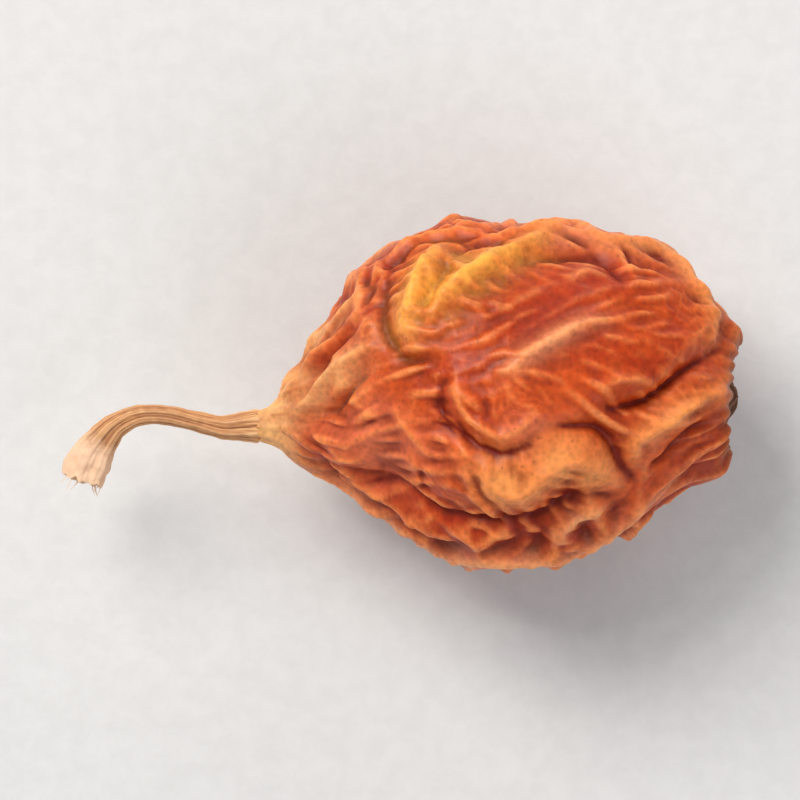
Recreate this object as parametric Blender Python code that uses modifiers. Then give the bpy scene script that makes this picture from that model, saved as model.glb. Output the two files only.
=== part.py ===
"""A dried rowan berry with the stub of its stalk, lying on its side.

Three pieces: the berry (skin and flesh in one), the stem and the dried calyx. Sizes are in
millimetres up to the last step, where every mesh is scaled to metres. The berry's own frame has
its origin in the middle of the fruit, with the stem end towards -X and the calyx end towards +X.
BERRY_CENTRE then places it so that the whole part stands on z = 0 with its box centred on the
origin, +Z up.
"""

import math
import random

import bmesh
import bpy
import numpy as np
from mathutils import Matrix, Vector, noise

PART_NAME = "rowan_berry"
MM = 0.001

# Driving dimensions, in millimetres
HALF_LENGTH = 3.92
HALF_WIDTH = 3.00
HALF_HEIGHT = 2.94
REST_DEPTH = 2.79
BERRY_CENTRE = (1.815, -0.050, REST_DEPTH)

# The stem end is slimmer than the rest and its middle line swings to one side and back
NECK_TAPER = 0.70
NECK_POWER = 2.3
NECK_SIDE = -0.50
NECK_SWAY = 0.17
NECK_DROP = -0.28
SHOULDER_SIDE = 0.20
FAR_TAPER = 0.04
FAR_SIDE = 0.60
FAR_LIFT = 0.08

# Skin drawn out round the stalk, and the socket that the stalk stands in
NECK_DRAW = 0.46
NECK_FADE = 0.34
NECK_LIP = 0.10
NECK_LIP_FADE = 0.10
NECK_PLEATS = 11
NECK_PLEAT_HEIGHT = 0.045
SOCKET_RADIUS = 0.27
SOCKET_RIM = 0.06
SOCKET_DEPTH = 0.45

# Bulge of the calyx end, and the pit in it
FAR_DRAW = 0.26
FAR_FADE = 1.5
PIT_RADIUS = 0.80
PIT_UNEVEN = 0.06
PIT_RIM = 0.16
PIT_DEPTH = 0.66
PIT_LIP = 0.10
PIT_LIP_WIDTH = 0.25

# Mesh of the berry: points are closer together at the two ends and on the upper side
AROUND = 106
ALONG = 58
ROW_CROWD = 0.25
UPPER_CROWD = 0.22
SPINE = 0.55

# Soft lumps of the dried flesh
LUMP_HEIGHT = 0.15
LUMP_LENGTH = 2.5

# Net of folds all over the skin
CELL_COUNT = 54
CELL_SEED = 41
CELL_STRETCH = 0.72
CELL_WARP = 0.34
CELL_WARP_LENGTH = 1.3
NET_RIDGE = 0.20
NET_RIDGE_WIDTH = 0.15
NET_HOLLOW = 0.14
NET_HOLLOW_WIDTH = 0.45
NET_ON_TOP = 0.22

# Short wrinkles between the folds: many small wave packets, sharpened along their crests
WRINKLE_COUNT = 460
WRINKLE_SEED = 19
WRINKLE_WAVE = 0.95
WRINKLE_BREADTH = 0.42
WRINKLE_LENGTH = 0.80
WRINKLE_LEAN = 2.2
WRINKLE_LEAN_LENGTH = 2.2
WRINKLE_SPREAD = 1.3
WRINKLE_HEIGHT = 0.055
WRINKLE_SHARPNESS = 0.9
WRINKLE_ON_TOP = 0.40

# Folds that run out from the two ends, and folds with a groove beside them on the sides and below
NECK_FOLDS = 13
CALYX_FOLDS = 12
SIDE_FOLDS = 40
SIDE_FOLD_STEPS = 6
SIDE_FOLD_STEP = 0.20
GROOVE_BESIDE = 0.075
FOLD_SEED = 7
CREST_ROUND = 0.08
UPPER_GAIN = 1.25

# The net and the seeded folds are weaker beside the drawn ones, and peaks are held back where folds cross
CALM_BESIDE = 0.80
CALM_REACH = 1.5
HEIGHT_LIMIT = 0.42
LIMIT_START = 0.20

# Folds on the upper side, as seen from above: height, half-width at the foot, and the points that
# the fold passes through
UPPER_RIDGES = (
    # Ribs that spread from the stem
    (0.16, 0.13, ((-4.00, -0.20), (-3.64, 0.33), (-3.26, 0.78), (-2.85, 1.18), (-2.45, 1.60))),
    (0.20, 0.13, ((-3.60, -0.42), (-3.30, -0.15), (-3.02, 0.20), (-2.68, 0.50), (-2.30, 0.78))),
    (0.14, 0.20, ((-3.40, -0.66), (-3.06, -0.78), (-2.68, -1.05), (-2.35, -1.15))),
    (0.10, 0.14, ((-2.00, -0.30), (-1.60, -0.85), (-1.30, -1.20))),
    # Far shoulder, next to the stem end
    (0.15, 0.14, ((-2.60, 2.00), (-2.20, 2.40), (-1.80, 2.66))),
    (0.22, 0.15, ((-1.62, 0.80), (-1.70, 1.10), (-1.62, 1.42), (-1.50, 1.82), (-1.30, 2.25), (-1.02, 2.66))),
    (0.24, 0.15, ((-1.35, 1.10), (-1.04, 1.56), (-0.60, 1.94), (-0.12, 2.23), (0.36, 2.47), (0.80, 2.74))),
    # Crown: a hooked crease, a straight one and the row of lumps below them
    (0.12, 0.11, ((-0.86, 0.30), (-0.84, -0.10), (-0.72, -0.45), (-0.46, -0.73), (-0.07, -0.90),
                  (0.27, -0.76), (0.58, -0.45))),
    (0.17, 0.17, ((-0.05, 0.18), (0.20, 0.36), (0.61, 0.64), (1.04, 0.88), (1.38, 1.05), (1.80, 1.15))),
    (0.18, 0.20, ((-0.75, -1.35), (-0.36, -1.55), (-0.05, -1.80), (0.32, -1.80), (0.75, -1.45),
                  (1.14, -1.30), (1.60, -1.40), (1.95, -1.62))),
    (0.10, 0.16, ((1.10, 1.80), (1.43, 1.99), (1.80, 1.92))),
    # Rims along the near and the far edge
    (0.26, 0.16, ((-3.40, -1.15), (-3.06, -1.55), (-2.65, -1.85), (-2.29, -1.98), (-1.91, -2.14),
                  (-1.42, -2.42), (-0.94, -2.66), (-0.30, -2.80), (0.40, -2.84), (1.10, -2.72),
                  (1.76, -2.38), (2.44, -1.92), (2.92, -1.53), (3.30, -1.15))),
    (0.22, 0.16, ((0.30, 2.78), (0.75, 2.86), (1.30, 2.85), (1.60, 2.62), (2.05, 2.52), (2.63, 2.40),
                  (2.95, 2.15), (3.20, 1.80), (3.42, 1.40), (3.50, 1.05), (3.46, 0.75))),
    (0.14, 0.14, ((3.40, 2.10), (3.62, 1.75), (3.78, 1.35))),
    # Slanting folds at the calyx end
    (0.13, 0.14, ((1.60, -0.05), (1.90, 0.08), (2.25, 0.12), (2.60, 0.02))),
    (0.20, 0.13, ((2.30, -1.20), (2.30, -0.90), (2.63, -0.66), (3.02, -0.37), (3.31, -0.16), (3.72, 0.20))),
    (0.14, 0.12, ((0.90, -2.45), (1.28, -2.22), (1.75, -2.02))),
)
UPPER_GROOVES = (
    # Between the ribs at the stem
    (0.16, 0.10, ((-3.35, -0.45), (-3.02, -0.33), (-2.70, 0.00), (-2.35, 0.30))),
    (0.12, 0.08, ((-3.45, 0.05), (-3.10, 0.48), (-2.77, 0.86), (-2.40, 1.15))),
    (0.16, 0.11, ((-3.10, -0.98), (-2.85, -1.32), (-2.50, -1.50))),
    # Round the far shoulder
    (0.17, 0.14, ((-1.95, 2.15), (-2.08, 1.65), (-2.10, 1.20), (-1.90, 0.70), (-1.55, 0.42), (-1.20, 0.50))),
    (0.13, 0.08, ((-1.40, 1.40), (-1.15, 1.86), (-0.88, 2.28))),
    (0.14, 0.13, ((-0.90, 2.42), (-0.40, 2.62), (0.15, 2.66))),
    (0.15, 0.13, ((0.20, 2.15), (0.85, 2.30), (1.50, 2.38), (1.86, 2.18), (2.08, 1.85))),
    # Below the hooked crease, and inside the near rim
    (0.19, 0.15, ((-1.00, 0.10), (-1.14, -0.45), (-0.78, -0.86), (-0.36, -1.15), (0.00, -1.22),
                  (0.45, -1.05))),
    (0.26, 0.20, ((-2.45, -1.50), (-1.90, -1.66), (-1.42, -1.92), (-1.04, -2.20), (-0.50, -2.34),
                  (0.15, -2.38), (0.60, -2.30), (1.10, -1.98), (1.57, -1.84), (1.90, -1.92))),
    # Slanting grooves at the calyx end
    (0.26, 0.12, ((1.75, -0.38), (2.05, -0.38), (2.44, -0.28), (2.83, -0.02), (3.21, 0.36), (3.62, 0.70))),
    (0.20, 0.11, ((2.60, -1.35), (2.83, -1.20), (3.12, -0.90), (3.45, -0.57), (3.80, -0.30))),
    (0.18, 0.12, ((0.85, -0.75), (1.20, -0.72), (1.60, -0.75), (1.90, -1.00), (2.05, -1.35), (2.35, -1.62))),
)

# Route of the stalk in the berry's frame, with its radius at each point
STEM_ROUTE = (
    ((-4.15, -0.50, -0.28), 0.225),
    ((-4.24, -0.50, -0.28), 0.232),
    ((-4.33, -0.50, -0.28), 0.250),
    ((-4.45, -0.505, -0.28), 0.255),
    ((-4.62, -0.51, -0.27), 0.235),
    ((-4.95, -0.53, -0.26), 0.190),
    ((-5.40, -0.44, -0.22), 0.165),
    ((-5.95, -0.32, -0.20), 0.160),
    ((-6.45, -0.32, -0.24), 0.170),
    ((-6.86, -0.50, -0.34), 0.210),
    ((-7.14, -0.80, -0.44), 0.290),
    ((-7.34, -1.12, -0.50), 0.370),
    ((-7.46, -1.42, -0.52), 0.350),
)
STEM_STEPS = 48
STEM_RIDGES = 6
STEM_RIDGE_HEIGHT = 0.10
STEM_END_FLATTEN = 0.62

# Calyx: a small cup in the pit with five sepals that lean in over it
SEPALS = 5
CUP_RADIUS = 0.54
CUP_HEIGHT = 0.16
CUP_GAP = 0.11
SEPAL_LENGTH = 0.78
SEPAL_WIDTH = 0.56
SEPAL_THICKNESS = 0.11
SEPAL_FOOT_RADIUS = 0.46
SEPAL_SEED = 3

SKIN_COLOUR = (0.50, 0.10, 0.028, 1.0)
STEM_COLOUR = (0.42, 0.20, 0.075, 1.0)
CALYX_COLOUR = (0.085, 0.035, 0.020, 1.0)


def smoothstep(low, high, value):
    """0 below low, 1 above high and a smooth rise between them."""
    share = np.clip((value - low) / (high - low), 0.0, 1.0)
    return share * share * (3.0 - 2.0 * share)


def middle_line(x):
    """Sideways and upward place of the fruit's middle line at x."""
    neck = np.clip(-x / HALF_LENGTH, 0.0, 1.0)
    far = np.clip(x / HALF_LENGTH, 0.0, 1.0)
    bow = 4.0 * SHOULDER_SIDE * neck * (1.0 - neck)
    sway = NECK_SWAY * np.sin(2.0 * math.pi * neck**2)
    side = NECK_SIDE * neck**5 + bow + sway + FAR_SIDE * far**2 * (1.0 - far**6)
    lift = NECK_DROP * neck**3 + FAR_LIFT * far**2
    return side, lift


def slimness(x):
    """Share of the full width that is left at x, less than 1 towards the two ends."""
    neck = np.clip(-x / HALF_LENGTH, 0.0, 1.0)
    far = np.clip(x / HALF_LENGTH, 0.0, 1.0)
    return 1.0 - NECK_TAPER * neck**NECK_POWER - FAR_TAPER * far**4


def smooth_form(polar, turn):
    """Points of the fruit without its folds: polar runs from the stem to the calyx, turn goes round."""
    x = -HALF_LENGTH * np.cos(polar)
    side, lift = middle_line(x)
    girth = np.sin(polar) * slimness(x)
    y = side + HALF_WIDTH * girth * np.cos(turn)
    z = lift + HALF_HEIGHT * girth * np.sin(turn)
    return np.stack([x, y, z], axis=-1)


def outward(points):
    """Unit directions that lead out of the fruit, away from a short spine along its middle line."""
    side, lift = middle_line(points[:, 0])
    spine = np.stack([SPINE * points[:, 0], side, lift], axis=-1)
    away = points - spine
    return away / np.linalg.norm(away, axis=1, keepdims=True)


def on_upper_side(x, y):
    """Point of the smooth form that lies at (x, y) as seen from above."""
    polar = math.acos(max(-0.985, min(0.985, -x / HALF_LENGTH)))
    side, _ = middle_line(np.array([-HALF_LENGTH * math.cos(polar)]))
    reach = HALF_WIDTH * math.sin(polar) * float(slimness(np.array([x]))[0])
    turn = math.acos(max(-0.999, min(0.999, (y - float(side[0])) / reach)))
    return smooth_form(np.array([polar]), np.array([turn]))[0]


def smooth_route(points, steps):
    """Evenly counted points on a Catmull-Rom curve through the given ones."""
    keys = np.array([points[0], *points, points[-1]], dtype=float)
    spans = len(points) - 1
    route = []
    for step in range(steps + 1):
        place = min(step / steps * spans, spans - 1e-9)
        span = int(place)
        share = place - span
        before, start, end, after = keys[span:span + 4]
        route.append(0.5 * (
            2.0 * start
            + (end - before) * share
            + (2.0 * before - 5.0 * start + 4.0 * end - after) * share**2
            + (3.0 * start - before - 3.0 * end + after) * share**3
        ))
    return np.array(route)


def crest(distance, width):
    """Cross-section of a fold: 1 on its line, with hollow flanks as skin draped over an edge."""
    rounded = np.sqrt(distance * distance + CREST_ROUND**2) - CREST_ROUND
    return np.exp(-rounded / width)


def fold_strength(points, route, width):
    """Strength of one fold at each point: 1 on its line, less across it and towards its two ends."""
    strength = np.zeros(len(points))
    reach = 5.0 * width
    near = np.all((points > route.min(axis=0) - reach) & (points < route.max(axis=0) + reach), axis=1)
    close = points[near]
    best = np.zeros(len(close))
    spans = len(route) - 1
    for span in range(spans):
        start = route[span]
        along = route[span + 1] - start
        share = np.clip((close - start) @ along / max(along @ along, 1e-9), 0.0, 1.0)
        distance = np.linalg.norm(close - start - share[:, None] * along, axis=1)
        taper = np.sin(math.pi * (span + share) / spans) ** 0.6
        best = np.maximum(best, taper * crest(distance, width))
    strength[near] = best
    return strength


def spread_cells():
    """Middles of the net's meshes, spread over the smooth form with no two close together."""
    draw = random.Random(CELL_SEED)
    cells = []
    for _ in range(CELL_COUNT):
        best, best_gap = None, -1.0
        for _ in range(30):
            polar = math.acos(1.0 - 2.0 * draw.random())
            point = smooth_form(np.array([polar]), np.array([draw.random() * 2.0 * math.pi]))[0]
            gap = min((float(np.linalg.norm(point - other)) for other in cells), default=99.0)
            if gap > best_gap:
                best, best_gap = point, gap
        cells.append(best)
    return np.array(cells)


def noise_at(points, length, offset):
    """Smooth noise between about -1 and 1, with bumps of about the given length."""
    shift = Vector((offset, -offset, 0.5 * offset))
    return np.array([noise.noise(Vector(point) / length + shift) for point in points])


def net_height(points):
    """Net of ridges round hollow meshes, from the distance to the borders between the cells."""
    warp = np.stack([noise_at(points, CELL_WARP_LENGTH, 10.0 * axis + 3.0) for axis in range(3)], axis=-1)
    stretch = np.array([CELL_STRETCH, 1.0, 1.0])
    placed = (points + CELL_WARP * warp) * stretch
    cells = spread_cells() * stretch
    gaps = np.linalg.norm(placed[:, None, :] - cells[None, :, :], axis=2)
    nearest = np.partition(gaps, 1, axis=1)
    border = 0.5 * (nearest[:, 1] - nearest[:, 0])
    strength = 0.62 + 0.55 * noise_at(points, 1.9, 57.0)
    ridge = NET_RIDGE * np.clip(strength, 0.1, 1.0) * crest(border, NET_RIDGE_WIDTH)
    hollow = NET_HOLLOW * (1.0 - np.exp(-(border / NET_HOLLOW_WIDTH) ** 2))
    return ridge - hollow


def wrinkle_height(points):
    """Short wrinkles: lengthwise near the two ends and any way round the middle."""
    draw = random.Random(WRINKLE_SEED)
    wave = np.zeros(len(points))
    reach = 2.6 * WRINKLE_LENGTH
    for _ in range(WRINKLE_COUNT):
        polar = math.acos(1.0 - 2.0 * draw.random())
        turn = 2.0 * math.pi * draw.random()
        middle, ahead, beside = smooth_form(
            np.array([polar, polar + 0.01, polar]), np.array([turn, turn, turn + 0.01])
        )
        ahead = (ahead - middle) / np.linalg.norm(ahead - middle)
        beside = (beside - middle) / np.linalg.norm(beside - middle)
        lean = WRINKLE_LEAN * float(noise_at(middle[None, :], WRINKLE_LEAN_LENGTH, 5.0)[0])
        slant = lean * math.sin(polar) ** 2 + draw.gauss(0.0, 0.15)
        across = math.cos(slant) * beside + math.sin(slant) * ahead
        pace = 2.0 * math.pi / (WRINKLE_WAVE * draw.uniform(0.85, 1.2))
        phase = 2.0 * math.pi * draw.random()
        near = np.all(np.abs(points - middle) < reach, axis=1)
        offset = points[near] - middle
        sideways = offset @ across
        lengthways = np.sum(offset * offset, axis=1) - sideways**2
        fade = np.exp(-0.5 * ((sideways / WRINKLE_BREADTH) ** 2 + lengthways / WRINKLE_LENGTH**2))
        wave[near] += fade * np.cos(pace * sideways + phase)
    spread = np.tanh(0.5 * wave / WRINKLE_SPREAD) * 2.0
    patches = np.clip(0.65 + 0.9 * noise_at(points, 2.0, 83.0), 0.15, 1.3)
    return WRINKLE_HEIGHT * patches * (np.exp(WRINKLE_SHARPNESS * spread) - 1.4)


def end_folds():
    """Folds that run out from the stem and from the calyx, all round: (height, width, route)."""
    draw = random.Random(FOLD_SEED)
    folds = []
    for count, sign, start, shortest, longest in (
        (NECK_FOLDS, 1.0, 0.24, 0.75, 1.45),
        (CALYX_FOLDS, -1.0, 0.40, 0.75, 1.25),
    ):
        for index in range(count):
            turn = 2.0 * math.pi * (index + draw.uniform(-0.25, 0.25)) / count
            end = draw.uniform(shortest, longest)
            bend = draw.uniform(-0.35, 0.35)
            height = draw.uniform(0.12, 0.21)
            width = draw.uniform(0.15, 0.22)
            from_pole = np.linspace(start, end, 9)
            polar = from_pole if sign > 0 else math.pi - from_pole
            swing = turn + bend * (from_pole - start) + 0.06 * np.sin(5.0 * from_pole + 7.0 * turn)
            upper_side = math.sin(turn) > 0.25
            folds.append((height * (0.35 if upper_side else 1.0), width, smooth_form(polar, swing)))
    return folds


def side_folds():
    """Curved folds on the sides and below, well apart, as (height, width, route), with their grooves."""
    draw = random.Random(FOLD_SEED + 1)
    ridges, grooves, starts = [], [], []
    for _ in range(SIDE_FOLDS):
        best, best_gap = None, -1.0
        for _ in range(24):
            polar = draw.uniform(0.45, math.pi - 0.55)
            turn = draw.uniform(-1.18, 0.18) * math.pi
            place = smooth_form(np.array([polar]), np.array([turn]))[0]
            gap = min((float(np.linalg.norm(place - other)) for other in starts), default=99.0)
            if gap > best_gap:
                best, best_gap = (polar, turn, place), gap
        starts.append(best[2])
        heading = draw.gauss(0.0, 0.75)
        bend = draw.gauss(0.0, 0.28)
        steps = np.arange(SIDE_FOLD_STEPS) - 0.5 * (SIDE_FOLD_STEPS - 1)
        courses = heading + bend * steps
        polar = best[0] + SIDE_FOLD_STEP * steps * np.cos(courses)
        turn = best[1] + SIDE_FOLD_STEP * steps * np.sin(courses)
        height = draw.uniform(0.12, 0.24)
        width = draw.uniform(0.11, 0.17)
        side = draw.choice((-1.0, 1.0)) * GROOVE_BESIDE
        ridges.append((height, width, smooth_form(polar, turn)))
        groove_polar = polar - side * np.sin(heading)
        groove_turn = turn + side * np.cos(heading)
        grooves.append((0.85 * height, 0.9 * width, smooth_form(groove_polar, groove_turn)))
    return ridges, grooves


def blended(points, folds):
    """Height of folds that merge where they meet, instead of adding up."""
    power = np.zeros(len(points))
    for height, width, route in folds:
        power += (height * fold_strength(points, route, width)) ** 3
    return power ** (1 / 3)


def drawn_folds(folds):
    """The folds drawn from above, lifted to the upper side, as (height, width, route)."""
    routes = []
    for height, width, places in folds:
        route = smooth_route([on_upper_side(x, y) for x, y in places], 4 * len(places))
        routes.append((UPPER_GAIN * height, width, route))
    return routes


def raised_height(points):
    """Height of the net, the wrinkles and all folds, weaker beside the drawn folds of the upper side."""
    top = smoothstep(0.15, 0.75, points[:, 2] / HALF_HEIGHT)
    net = net_height(points) * (1.0 - (1.0 - NET_ON_TOP) * top)
    net += wrinkle_height(points) * (1.0 - (1.0 - WRINKLE_ON_TOP) * top)
    side_ridges, side_grooves = side_folds()
    seeded = blended(points, end_folds() + side_ridges) - blended(points, side_grooves)
    upper_ridges = drawn_folds(UPPER_RIDGES)
    upper_grooves = drawn_folds(UPPER_GROOVES)
    beside = np.zeros(len(points))
    for _, width, route in upper_ridges + upper_grooves:
        beside = np.maximum(beside, fold_strength(points, route, CALM_REACH * width))
    height = (net + seeded) * (1.0 - CALM_BESIDE * beside)
    height += blended(points, upper_ridges) - blended(points, upper_grooves)
    over = np.maximum(height - LIMIT_START, 0.0)
    return np.minimum(height, LIMIT_START) + over / (1.0 + over / (HEIGHT_LIMIT - LIMIT_START))


def end_distance(points, sign):
    """Distance from the stem's axis (sign -1) or the calyx's axis (sign 1), large at the other end."""
    side, lift = middle_line(np.array([sign * HALF_LENGTH]))
    radius = np.hypot(points[:, 1] - side[0], points[:, 2] - lift[0])
    return np.where(points[:, 0] * sign > 0.0, radius, 99.0)


def skin_height(points):
    """How far the real skin stands out from the smooth form at each of its points."""
    from_stem = end_distance(points, -1.0)
    from_calyx = end_distance(points, 1.0)
    below = smoothstep(0.80, 1.0, -points[:, 2] / HALF_HEIGHT)
    from_calyx = from_calyx * (1.0 + PIT_UNEVEN * noise_at(points, 0.8, 33.0))
    calm = smoothstep(0.36, 0.85, from_stem) * smoothstep(PIT_RADIUS - 0.25, PIT_RADIUS + 0.35, from_calyx)
    lumps = LUMP_HEIGHT * noise_at(points, LUMP_LENGTH, 21.0)
    height = raised_height(points) * calm * (1.0 - below) + lumps * (1.0 - below)
    neck = np.maximum(from_stem - SOCKET_RADIUS - SOCKET_RIM, 0.0)
    side, lift = middle_line(np.array([-HALF_LENGTH]))
    round_stem = np.arctan2(points[:, 2] - lift[0], points[:, 1] - side[0])
    pleats = NECK_PLEAT_HEIGHT * np.cos(NECK_PLEATS * round_stem + 2.0 * noise_at(points, 0.8, 91.0))
    height += NECK_DRAW * np.exp(-neck / NECK_FADE) + (NECK_LIP + pleats) * np.exp(-neck / NECK_LIP_FADE)
    height += 0.6 * pleats * np.exp(-((neck - 0.30) / 0.25) ** 2)
    height -= SOCKET_DEPTH * smoothstep(0.0, SOCKET_RIM, SOCKET_RADIUS + SOCKET_RIM - from_stem)
    height += FAR_DRAW * np.exp(-(from_calyx / FAR_FADE) ** 2)
    lip = np.exp(-((from_calyx - PIT_RADIUS - PIT_RIM) / PIT_LIP_WIDTH) ** 2)
    height += PIT_LIP * lip - PIT_DEPTH * smoothstep(0.0, PIT_RIM, PIT_RADIUS - from_calyx)
    return height


def skin_points(polar, turn):
    """Points of the real skin, in the part's frame."""
    points = smooth_form(polar, turn)
    skin = points + outward(points) * skin_height(points)[:, None] + np.array(BERRY_CENTRE)
    skin[:, 2] = np.maximum(skin[:, 2], 0.0)
    return skin


def material(name, colour, roughness):
    """Plain Principled material."""
    made = bpy.data.materials.new(name)
    made.use_nodes = True
    shader = made.node_tree.nodes["Principled BSDF"]
    shader.inputs["Base Color"].default_value = colour
    shader.inputs["Roughness"].default_value = roughness
    shader.inputs["Metallic"].default_value = 0.0
    made.diffuse_color = colour
    return made


def add_piece(collection, name, mesh, finish):
    """Object of a mesh that is in millimetres, scaled to metres and shaded smooth."""
    mesh.transform(Matrix.Scale(MM, 4))
    mesh.name = name
    mesh.materials.clear()
    mesh.materials.append(finish)
    mesh.shade_smooth()
    piece = bpy.data.objects.new(name, mesh)
    collection.objects.link(piece)
    return piece


def build_berry(collection):
    """The fruit: a sphere with its poles at the stem and the calyx, moved to the wrinkled skin."""
    bm = bmesh.new()
    bmesh.ops.create_uvsphere(bm, u_segments=AROUND, v_segments=ALONG, radius=1.0)
    unit = np.array([vert.co[:] for vert in bm.verts])
    polar = np.arccos(np.clip(unit[:, 2], -1.0, 1.0))
    polar = polar - 0.5 * ROW_CROWD * np.sin(2.0 * polar)
    turn = np.arctan2(-unit[:, 1], unit[:, 0])
    turn = turn + UPPER_CROWD * np.cos(turn)
    for vert, place in zip(bm.verts, skin_points(polar, turn)):
        vert.co = place
    flat = [face for face in bm.faces if all(vert.co.z == 0.0 for vert in face.verts)]
    bmesh.ops.dissolve_faces(bm, faces=flat)
    mesh = bpy.data.meshes.new("berry")
    bm.to_mesh(mesh)
    bm.free()
    return add_piece(collection, "berry", mesh, material("berry_skin", SKIN_COLOUR, 0.45))


def build_stem(collection):
    """The stalk: a tube of changing radius with soft ribs along it and a flattened, broken end."""
    places = smooth_route([place for place, _ in STEM_ROUTE], STEM_STEPS)
    radii = smooth_route([(radius, 0.0, 0.0) for _, radius in STEM_ROUTE], STEM_STEPS)[:, 0]
    curve = bpy.data.curves.new("stem_line", "CURVE")
    curve.dimensions = "3D"
    curve.bevel_depth = 1.0
    curve.bevel_resolution = 4
    curve.use_fill_caps = True
    spline = curve.splines.new("POLY")
    spline.points.add(STEM_STEPS)
    for point, place, radius in zip(spline.points, places, radii):
        point.co = (*place, 1.0)
        point.radius = radius
    line = bpy.data.objects.new("stem_line", curve)
    collection.objects.link(line)
    mesh = bpy.data.meshes.new_from_object(line.evaluated_get(bpy.context.evaluated_depsgraph_get()))
    bpy.data.objects.remove(line)
    bm = bmesh.new()
    bm.from_mesh(mesh)
    bmesh.ops.remove_doubles(bm, verts=bm.verts, dist=0.002)
    for vert in bm.verts:
        gaps = np.linalg.norm(places - np.array(vert.co), axis=1)
        nearest = int(np.argmin(gaps))
        middle = Vector(places[nearest])
        away = vert.co - middle
        share = nearest / STEM_STEPS
        rib = math.cos(STEM_RIDGES * math.atan2(away.z, away.y) + 2.0 * share)
        growth = STEM_RIDGE_HEIGHT * rib * float(smoothstep(0.20, 0.30, share))
        away *= 1.0 + growth
        away.z *= 1.0 - (1.0 - STEM_END_FLATTEN) * float(smoothstep(0.70, 0.95, share))
        vert.co = middle + away
    bm.to_mesh(mesh)
    bm.free()
    mesh.transform(Matrix.Translation(BERRY_CENTRE))
    return add_piece(collection, "stem", mesh, material("stem_bark", STEM_COLOUR, 0.7))


def sepal_mesh(draw):
    """One sepal as an open sheet: broad at its foot, pointed, leaning in over the cup."""
    bm = bmesh.new()
    bmesh.ops.create_grid(bm, x_segments=6, y_segments=7, size=0.5)
    lean = draw.uniform(1.65, 2.05)
    length = SEPAL_LENGTH * draw.uniform(0.88, 1.08)
    twist = draw.uniform(-0.25, 0.25)
    for vert in bm.verts:
        share = vert.co.y + 0.5
        half = 0.5 * SEPAL_WIDTH * (1.0 - share) ** 0.75 + 0.03
        across = 2.0 * vert.co.x * half
        angle = 0.15 + lean * share
        inward = length * (1.0 - math.cos(angle)) / lean
        rise = length * math.sin(angle) / lean
        keel = 0.35 * across * across / SEPAL_WIDTH
        vert.co = Vector((SEPAL_FOOT_RADIUS - inward + keel, across + twist * share * 0.2, rise))
    mesh = bpy.data.meshes.new("sepal")
    bm.to_mesh(mesh)
    bm.free()
    return mesh


def build_calyx(collection):
    """The dried calyx: a low cup with five sepals joined to it, turned so that it faces +X."""
    draw = random.Random(SEPAL_SEED)
    loose = bpy.data.collections.new("sepals")
    bpy.context.scene.collection.children.link(loose)
    for index in range(SEPALS):
        sepal = bpy.data.objects.new(f"sepal_{index}", sepal_mesh(draw))
        sepal.rotation_euler.z = 2.0 * math.pi * index / SEPALS + draw.uniform(-0.08, 0.08)
        thick = sepal.modifiers.new("thickness", "SOLIDIFY")
        thick.thickness = SEPAL_THICKNESS
        thick.offset = 0.0
        loose.objects.link(sepal)
    bm = bmesh.new()
    bmesh.ops.create_cone(
        bm, cap_ends=True, segments=30, radius1=0.8 * CUP_RADIUS, radius2=CUP_RADIUS, depth=CUP_HEIGHT
    )
    bmesh.ops.translate(bm, verts=bm.verts, vec=(0.0, 0.0, 0.5 * CUP_HEIGHT - 0.04))
    cup_mesh = bpy.data.meshes.new("cup")
    bm.to_mesh(cup_mesh)
    bm.free()
    cup = bpy.data.objects.new("cup", cup_mesh)
    collection.objects.link(cup)
    union = cup.modifiers.new("sepals", "BOOLEAN")
    union.operation = "UNION"
    union.operand_type = "COLLECTION"
    union.collection = loose
    union.solver = "EXACT"
    mesh = bpy.data.meshes.new_from_object(cup.evaluated_get(bpy.context.evaluated_depsgraph_get()))
    bpy.data.objects.remove(cup)
    for sepal in list(loose.objects):
        bpy.data.objects.remove(sepal)
    bpy.data.collections.remove(loose)
    side, lift = middle_line(np.array([HALF_LENGTH]))
    floor = HALF_LENGTH + FAR_DRAW - PIT_DEPTH + CUP_GAP + 0.04
    place = Vector((floor, float(side[0]), float(lift[0]))) + Vector(BERRY_CENTRE)
    facing = Matrix.Rotation(math.pi / 2.0, 4, "Y")
    mesh.transform(Matrix.Translation(place) @ facing)
    return add_piece(collection, "calyx", mesh, material("calyx_dry", CALYX_COLOUR, 0.8))


def main():
    """Clears the file and builds the three pieces."""
    for old in list(bpy.data.objects):
        bpy.data.objects.remove(old)
    collection = bpy.data.collections.new(PART_NAME)
    bpy.context.scene.collection.children.link(collection)
    build_berry(collection)
    build_stem(collection)
    build_calyx(collection)


main()
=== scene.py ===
"""Looks of a dried rowan berry that lies on its side with the stub of its stalk.

Three pieces are made here, each a finer form of the solid it stands for: the wrinkled fruit, the
stalk with its torn end, and the dried calyx with its five sepals. Lengths in the classes are in
millimetres, and every mesh is scaled to metres when it becomes an object. The fruit's own frame has
its origin in the middle of the fruit, with the stalk towards -X and the calyx towards +X.
"""

import logging
import math
import random
from dataclasses import dataclass, field
from enum import Enum

import bmesh
import bpy
import numpy as np
from mathutils import Matrix, Vector, kdtree, noise


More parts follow.
